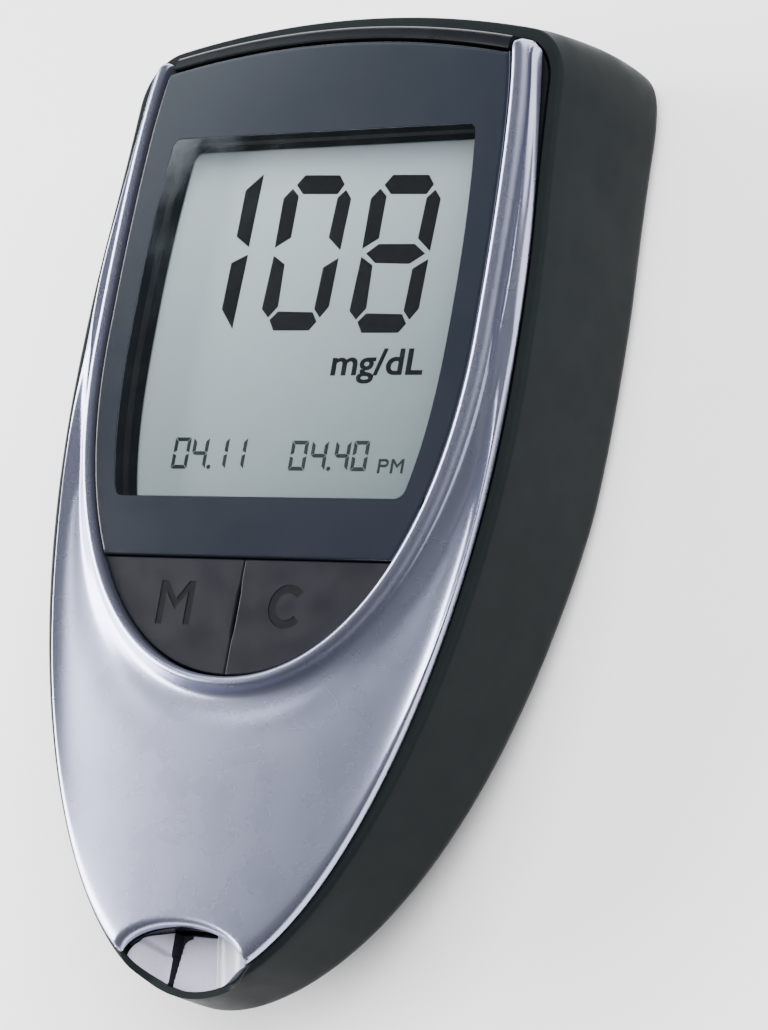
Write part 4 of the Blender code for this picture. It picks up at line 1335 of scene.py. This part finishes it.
def build_display():
    glass = mesh_object("display_panel", section_x([(GLASS_Y[0], 15.9), (GLASS_Y[0], 16.5), (GLASS_Y[0] + 0.1, LCD_Z),
                                                    (GLASS_Y[1] - 0.1, LCD_Z), (GLASS_Y[1], 16.5), (GLASS_Y[1], 15.9),
                                                    (37.5, 15.9), (37.5, 15.2), (-1.3, 15.2), (-1.3, 15.9)],
                                                   -GLASS_X, GLASS_X), "display", smooth=None)
    place(glass, "case", "lcd_glass", "lcd_glass")
    polys = []
    for figure, dx, dy in (("8", 0.0, 0.0), ("0", -10.6, 0.4)):
        for k in LIT[figure]:
            polys.append([(x + dx, y + dy) for x, y in BARS[k]])
    polys += [list(p) for p in ONE]
    big = bars_object("reading_figures", polys, "segment")
    polys = []
    t = 0.40
    for figure, x0, x1, y0, y1 in (("0", -13.9, -11.95, 2.6, 5.9), ("4", -11.6, -9.7, 2.6, 5.9),
                                   ("1", -8.9, -7.25, 2.6, 5.9), ("1", -6.7, -5.05, 2.6, 5.9),
                                   ("0", 0.35, 2.3, 2.5, 5.6), ("4", 2.75, 4.65, 2.5, 5.6),
                                   ("4", 5.55, 7.3, 2.5, 5.6), ("0", 7.65, 9.45, 2.5, 5.6)):
        bars = small_bars(x0, x1, y0, y1, t)
        for k in LIT[figure]:
            polys.append(bars[k])
    for cx, cy in ((-9.28, 2.82), (5.1, 2.72)):
        polys.append([(cx + 0.24 * cos(2 * pi * k / 12), cy + 0.24 * sin(2 * pi * k / 12)) for k in range(12)])
    small = bars_object("clock_figures", polys, "small")
    unit = lettering("unit_mark", "mg/dL", 3.35, 14.0, 12.42, 15.1, 0.020, "segment")
    noon = bars_object("noon_mark", glyph_p(10.8, 12.0, 2.3, 3.77, 0.27) + [glyph_m(13.0, 3.035, 1.45, 1.47, 0.27)],
                       "small")
    for obj in (big, small, unit, noon):
        place(obj, "case", "lcd_glass")


# ================================================================ keys
def glyph_m(cx, cy, w, h, t):
    x0, x1, y0, y1 = cx - w / 2, cx + w / 2, cy - h / 2, cy + h / 2
    return [(x0, y0), (x0 + t, y0), (x0 + t, y1 - 1.45 * t), (cx, y0 + 0.35 * h), (x1 - t, y1 - 1.45 * t), (x1 - t, y0),
            (x1, y0), (x1, y1), (x1 - t, y1), (cx, y0 + 0.35 * h + 1.35 * t), (x0 + t, y1), (x0, y1)]


def glyph_c(cx, cy, w, h, t, n=26):
    out = []
    for k in range(n + 1):
        a = radians(42 + (318 - 42) * k / n)
        out.append((cx + w / 2 * cos(a), cy + h / 2 * sin(a)))
    for k in range(n, -1, -1):
        a = radians(42 + (318 - 42) * k / n)
        out.append((cx + (w / 2 - t) * cos(a), cy + (h / 2 - t) * sin(a)))
    return out


def split_x(y):
    """Half width of the slit between the keys: open in the middle, a hairline at its ends."""
    t = smooth01((y + 16.4) / 2.2) * smooth01((-9.6 - y) / 1.8)
    return 0.035 + 0.135 * t


def build_key(name, side, node, body):
    plan = clip(full(offset_half(LENS, 0.15)), 1, KEY_LINE_Y - 0.05, False)
    plan = clip(plan, 0, side * 0.3, side > 0)
    plan = [p for p in plan if abs(abs(p[0]) - 0.3) > 0.02]
    ys = [p[1] for p in plan]
    # the plan follows the slit instead of a straight cut
    poly = clip(full(offset_half(LENS, 0.15)), 1, KEY_LINE_Y - 0.05, False)
    outside = [p for p in poly if side * p[0] > 0.3]
    if side > 0:
        outside.sort(key=lambda p: atan2(p[1] + 12.0, p[0] - 0.0))
    else:
        outside.sort(key=lambda p: atan2(p[1] + 12.0, -p[0]))
    top_y, bottom_y = KEY_LINE_Y - 0.05, LENS_BOTTOM_Y + 0.15
    n = 46
    inner = []
    for k in range(n + 1):
        y = top_y + (bottom_y - top_y) * k / n
        inner.append((side * split_x(y), y))
    # outer run goes from the bottom up to the top corner
    outer = [p for p in outside if p[1] < top_y - 0.01]
    outer.sort(key=lambda p: p[1])
    corner = max(outside, key=lambda p: side * p[0] if p[1] > top_y - 0.02 else -99)
    poly = inner + outer + [(corner[0], top_y)]
    if area(poly) < 0:
        poly.reverse()
    obj = mesh_object(name, slab(poly, 16.2, KEY_TOP_Z, 0.0, 0.16, 4), "key", smooth=50)
    wide = clip(full(offset_half(LENS, -0.6)), 1, KEY_LINE_Y + 0.4, False)
    wide = clip(wide, 0, side * 0.2, side > 0)
    cut = glyph_m(-7.3, -12.25, 4.1, 4.4, 0.78) if side < 0 else glyph_c(5.85, -12.3, 4.3, 4.4, 0.86)
    carve(obj, [(JOIN, rings([(wide, 15.9), (wide, 16.6)])),
                (CUT, rings([(cut, KEY_TOP_Z - 0.05), (cut, KEY_TOP_Z + 0.5)]))])
    finish_normals(obj, 50)
    # painted shade: the floors of the shallow letter recesses get a darker finish in place of the shade in the
    # engraving
    second_finish(obj, "mark", lambda c, n: n.z > 0.9 and KEY_TOP_Z - 0.06 < c[2] < KEY_TOP_Z - 0.04
                  and abs(c[1] + 12.2) < 2.6)
    return place(obj, body, "key_plastic", node)


# ================================================================ strip port
def port_height(x, y):
    """Upper surface of the port insert: a low tongue between raised cheeks."""
    v = min(1.0, max(0.0, (-44.4 - y) / 4.3))
    left = -1.97 - 0.57 * v
    right = 1.71 + 0.84 * v
    slot_w = 0.78 - 0.44 * v
    if x < left - slot_w:
        d = (left - slot_w) - x
        # upper shelf that ends at a soft crease, then a face that falls to the lip
        z = 16.75 + 1.85 * smooth01((d - 0.2) / 3.8)
        crease = (-45.75 - 0.42 * (x + 3.0)) - y
        z -= 0.60 * smooth01(crease / 0.9)
        return max(z, 16.3)
    if x < left:
        return 15.25
    if x <= right:
        if x < left + 0.8 and y > -45.10 and hypot(x - left - 0.8, y + 45.10) > 0.8:
            return 15.25
        if y > -44.0:
            return 15.25
        return 15.95
    d = x - right
    return 15.95 + 0.85 * smooth01(d / 0.6) + 1.75 * smooth01((d - 0.9) / 3.6)


def build_port():
    step = 0.08
    x0, x1, y0, y1 = -7.2, 7.2, -50.2, -43.2
    nx, ny = int((x1 - x0) / step), int((y1 - y0) / step)
    bm = bmesh.new()
    grid = [[bm.verts.new((x0 + (x1 - x0) * i / nx, y0 + (y1 - y0) * j / ny,
                           port_height(x0 + (x1 - x0) * i / nx, y0 + (y1 - y0) * j / ny)))
             for i in range(nx + 1)] for j in range(ny + 1)]
    for j in range(ny):
        for i in range(nx):
            bm.faces.new((grid[j][i], grid[j][i + 1], grid[j + 1][i + 1], grid[j + 1][i]))
    edge = [grid[0][i] for i in range(nx + 1)] + [grid[j][nx] for j in range(1, ny + 1)]
    edge += [grid[ny][i] for i in range(nx - 1, -1, -1)] + [grid[j][0] for j in range(ny - 1, 0, -1)]
    low = [bm.verts.new((v.co.x, v.co.y, SCOOP_Z + 0.2)) for v in edge]
    bridge(bm, edge, low)
    bm.faces.new(low)
    port = mesh_object("strip_port", bm, "port", smooth=30)
    tip = clip(full(offset_half(RIM, LIP + 0.06)), 1, -41.0, False)
    depth = -46.9 - SCOOP_TOP_Y
    w = SCOOP_W - 0.05
    arch = [(w * cos(pi * k / 48), SCOOP_TOP_Y - 0.08 + depth - depth * sin(pi * k / 48)) for k in range(49)]
    arch += [(-w, -53.0), (w, -53.0)]
    carve(port, [(KEEP, rings([(arch, SCOOP_Z - 1.0), (arch, 21.0)])),
                 (KEEP, rings([(tip, 10.0), (tip, 24.0)]))])
    finish_normals(port, 34)
    # painted shade: the slot floor below z 15.6 and the steep walls left of the tongue get a near-black finish in place
    # of the shade in the slot
    second_finish(port, "slot", lambda c, n: c[2] < 15.6 or (abs(n.z) < 0.6 and abs(n.x) > 0.3 and -3.8 < c[0] < -1.2))
    return place(port, "case", "port_plastic", "strip_port_insert")


# ================================================================ battery and screws
def build_cell():
    z0, z1 = CELL_Z, CELL_Z + CELL_H
    prof = [(0, z0), (8.6, z0), (9.3, z0 + 0.04), (9.75, z0 + 0.16), (9.95, z0 + 0.36), (10.0, z0 + 0.6),
            (10.0, z0 + 2.55), (9.93, z0 + 2.75), (9.7, z0 + 2.86), (9.35, z0 + 2.86), (9.2, z0 + 2.72), (8.85, z0 + 2.72),
            (8.7, z0 + 3.0), (8.5, z0 + 3.15), (8.2, z1), (0, z1)]
    cell = mesh_object("coin_cell_body", turned(prof, CELL_POS, 128), "cell", smooth=30)
    finish_normals(cell, 30)
    return place(cell, "case", "bright_steel", "coin_cell")


def build_screw(name, x, y, head_r, z0, z1, shaft_r, tip_z, node):
    """Pan head with a cross recess; the thread is a run of fine ridges."""
    prof = [(0, z0), (head_r - 0.55, z0), (head_r - 0.25, z0 + 0.06), (head_r - 0.08, z0 + 0.2), (head_r, z0 + 0.45),
            (head_r, z1), (shaft_r, z1)]
    z = z1 + 0.5
    while z < tip_z - 1.0:
        prof += [(shaft_r * 0.86, z), (shaft_r, z + 0.18), (shaft_r * 0.86, z + 0.36)]
        z += 0.45
    prof += [(shaft_r * 0.86, tip_z - 0.6), (shaft_r * 0.5, tip_z), (0, tip_z)]
    screw = mesh_object(name, turned(prof, (x, y), 40), "steel", smooth=30)
    arms = []
    for ax, ay in ((0.95, 0.2), (0.2, 0.95)):
        big = rect(x - ax, x + ax, y - ay, y + ay)
        small = rect(x - ax * 0.55, x + ax * 0.55, y - ay * 0.8, y + ay * 0.8)
        arms.append((CUT, rings([(big, z0 - 1.0), (big, z0 + 0.2), (small, z0 + 0.75)])))
    carve(screw, arms)
    finish_normals(screw, 30)
    return place(screw, "case", "bright_steel", node)


def build_label():
    film = mesh_object("back_plate_film", slab(rect(-14.7, 14.7, 3.35, 10.45, 1.0), 0.05, 0.25, 0.05, 0.0, 2), "label",
                       smooth=30)
    finish_normals(film, 30)
    return place(film, "case", "label_film", "back_label")


# ================================================================ build
build_rear()
build_door()
build_chassis()
build_frame()
build_lens()
build_display()
build_key("key_left", -1, "left_key", "left_key_body")
build_key("key_right", 1, "right_key", "right_key_body")
build_port()
build_cell()
for i, (sx, sy) in enumerate(CASE_SCREWS):
    seat = 4.6 if sy > 0 else 6.6
    build_screw("screw_case_%d" % (i + 1), sx, sy, 1.7, seat - 1.7, seat - 0.3, 1.0, 15.9, "case_screw_%d" % (i + 1))
under = BOARD_Z[0] - GAP
for i, (sx, sy) in enumerate(BOARD_SCREWS):
    build_screw("screw_board_%d" % (i + 1), sx, sy, 1.5, under - 1.3, under, 0.8, 15.7, "board_screw_%d" % (i + 1))
build_label()

# CAD nodes that stay get their finish here
STAY = {
    "lcd_reflector": "film", "lcd_frame": "ivory", "zebra_strip": "zebra", "main_board": "board",
    "controller_chip": "chip", "memory_chip": "chip", "buzzer": "chip", "crystal_can": "steel",
    "capacitor_1": "ceramic", "capacitor_2": "ceramic", "resistor_1": "chip", "resistor_2": "chip",
    "strip_connector_body": "ivory", "strip_contact_1": "gold", "strip_contact_2": "gold", "strip_contact_3": "gold",
    "keypad_mat": "rubber", "battery_contact_positive": "steel", "battery_contact_negative": "steel",
}
for node, mat in STAY.items():
    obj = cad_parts[node]
    if obj.material_slots:
        for s in obj.material_slots:
            s.material = MAT[mat]
    else:
        obj.data.materials.append(MAT[mat])


# ================================================================ floor and light
def floor():
    bm = bmesh.new()
    n = 24
    size = 2400.0
    grid = [[bm.verts.new((-size + 2 * size * i / n, -size + 2 * size * j / n, -0.05)) for i in range(n + 1)]
            for j in range(n + 1)]
    for j in range(n):
        for i in range(n):
            bm.faces.new((grid[j][i], grid[j][i + 1], grid[j + 1][i + 1], grid[j + 1][i]))
    net = Net("pale_floor")
    c = net.blend(net.span(net.noise(0.02, 3.0), 0.3, 0.7, 0.0, 1.0), (0.905, 0.905, 0.91), (0.925, 0.925, 0.925))
    net.colour(c)
    net.rough(net.span(net.noise(0.3, 3.0), 0.3, 0.7, 0.55, 0.65))
    MAT["floor"] = net.mat
    obj = mesh_object("pale_floor", bm, "floor", smooth=None)
    return obj


def area_light(name, at, toward, size, power, colour=(1.0, 1.0, 1.0)):
    data = bpy.data.lights.new(name, "AREA")
    data.shape = "RECTANGLE"
    data.size, data.size_y = size
    data.energy = power
    data.color = colour
    obj = bpy.data.objects.new(name, data)
    at, toward = Vector(at), Vector(toward)
    obj.matrix_world = Matrix.Translation(at) @ (at - toward).to_track_quat("Z", "Y").to_matrix().to_4x4()
    bpy.context.scene.collection.objects.link(obj)
    return obj


floor()
area_light("side_panel", (-0.66, -0.02, 0.24), (0.0, 0.0, 0.015), (0.66, 0.54), 19.0)
area_light("corner_panel", (-0.50, 0.42, 0.43), (0.0, 0.0, 0.015), (0.30, 0.40), 0.75, (0.84, 0.93, 1.0))
wash = area_light("wash_light", (0.34, 0.34, 0.85), (0.0, 0.0, 0.0), (1.2, 1.2), 40.0)
wash.visible_glossy = False

world = bpy.data.worlds.new("studio")
world.use_nodes = True
world.node_tree.nodes["Background"].inputs[0].default_value = (0.90, 0.94, 1.0, 1.0)
world.node_tree.nodes["Background"].inputs[1].default_value = 0.03
bpy.context.scene.world = world
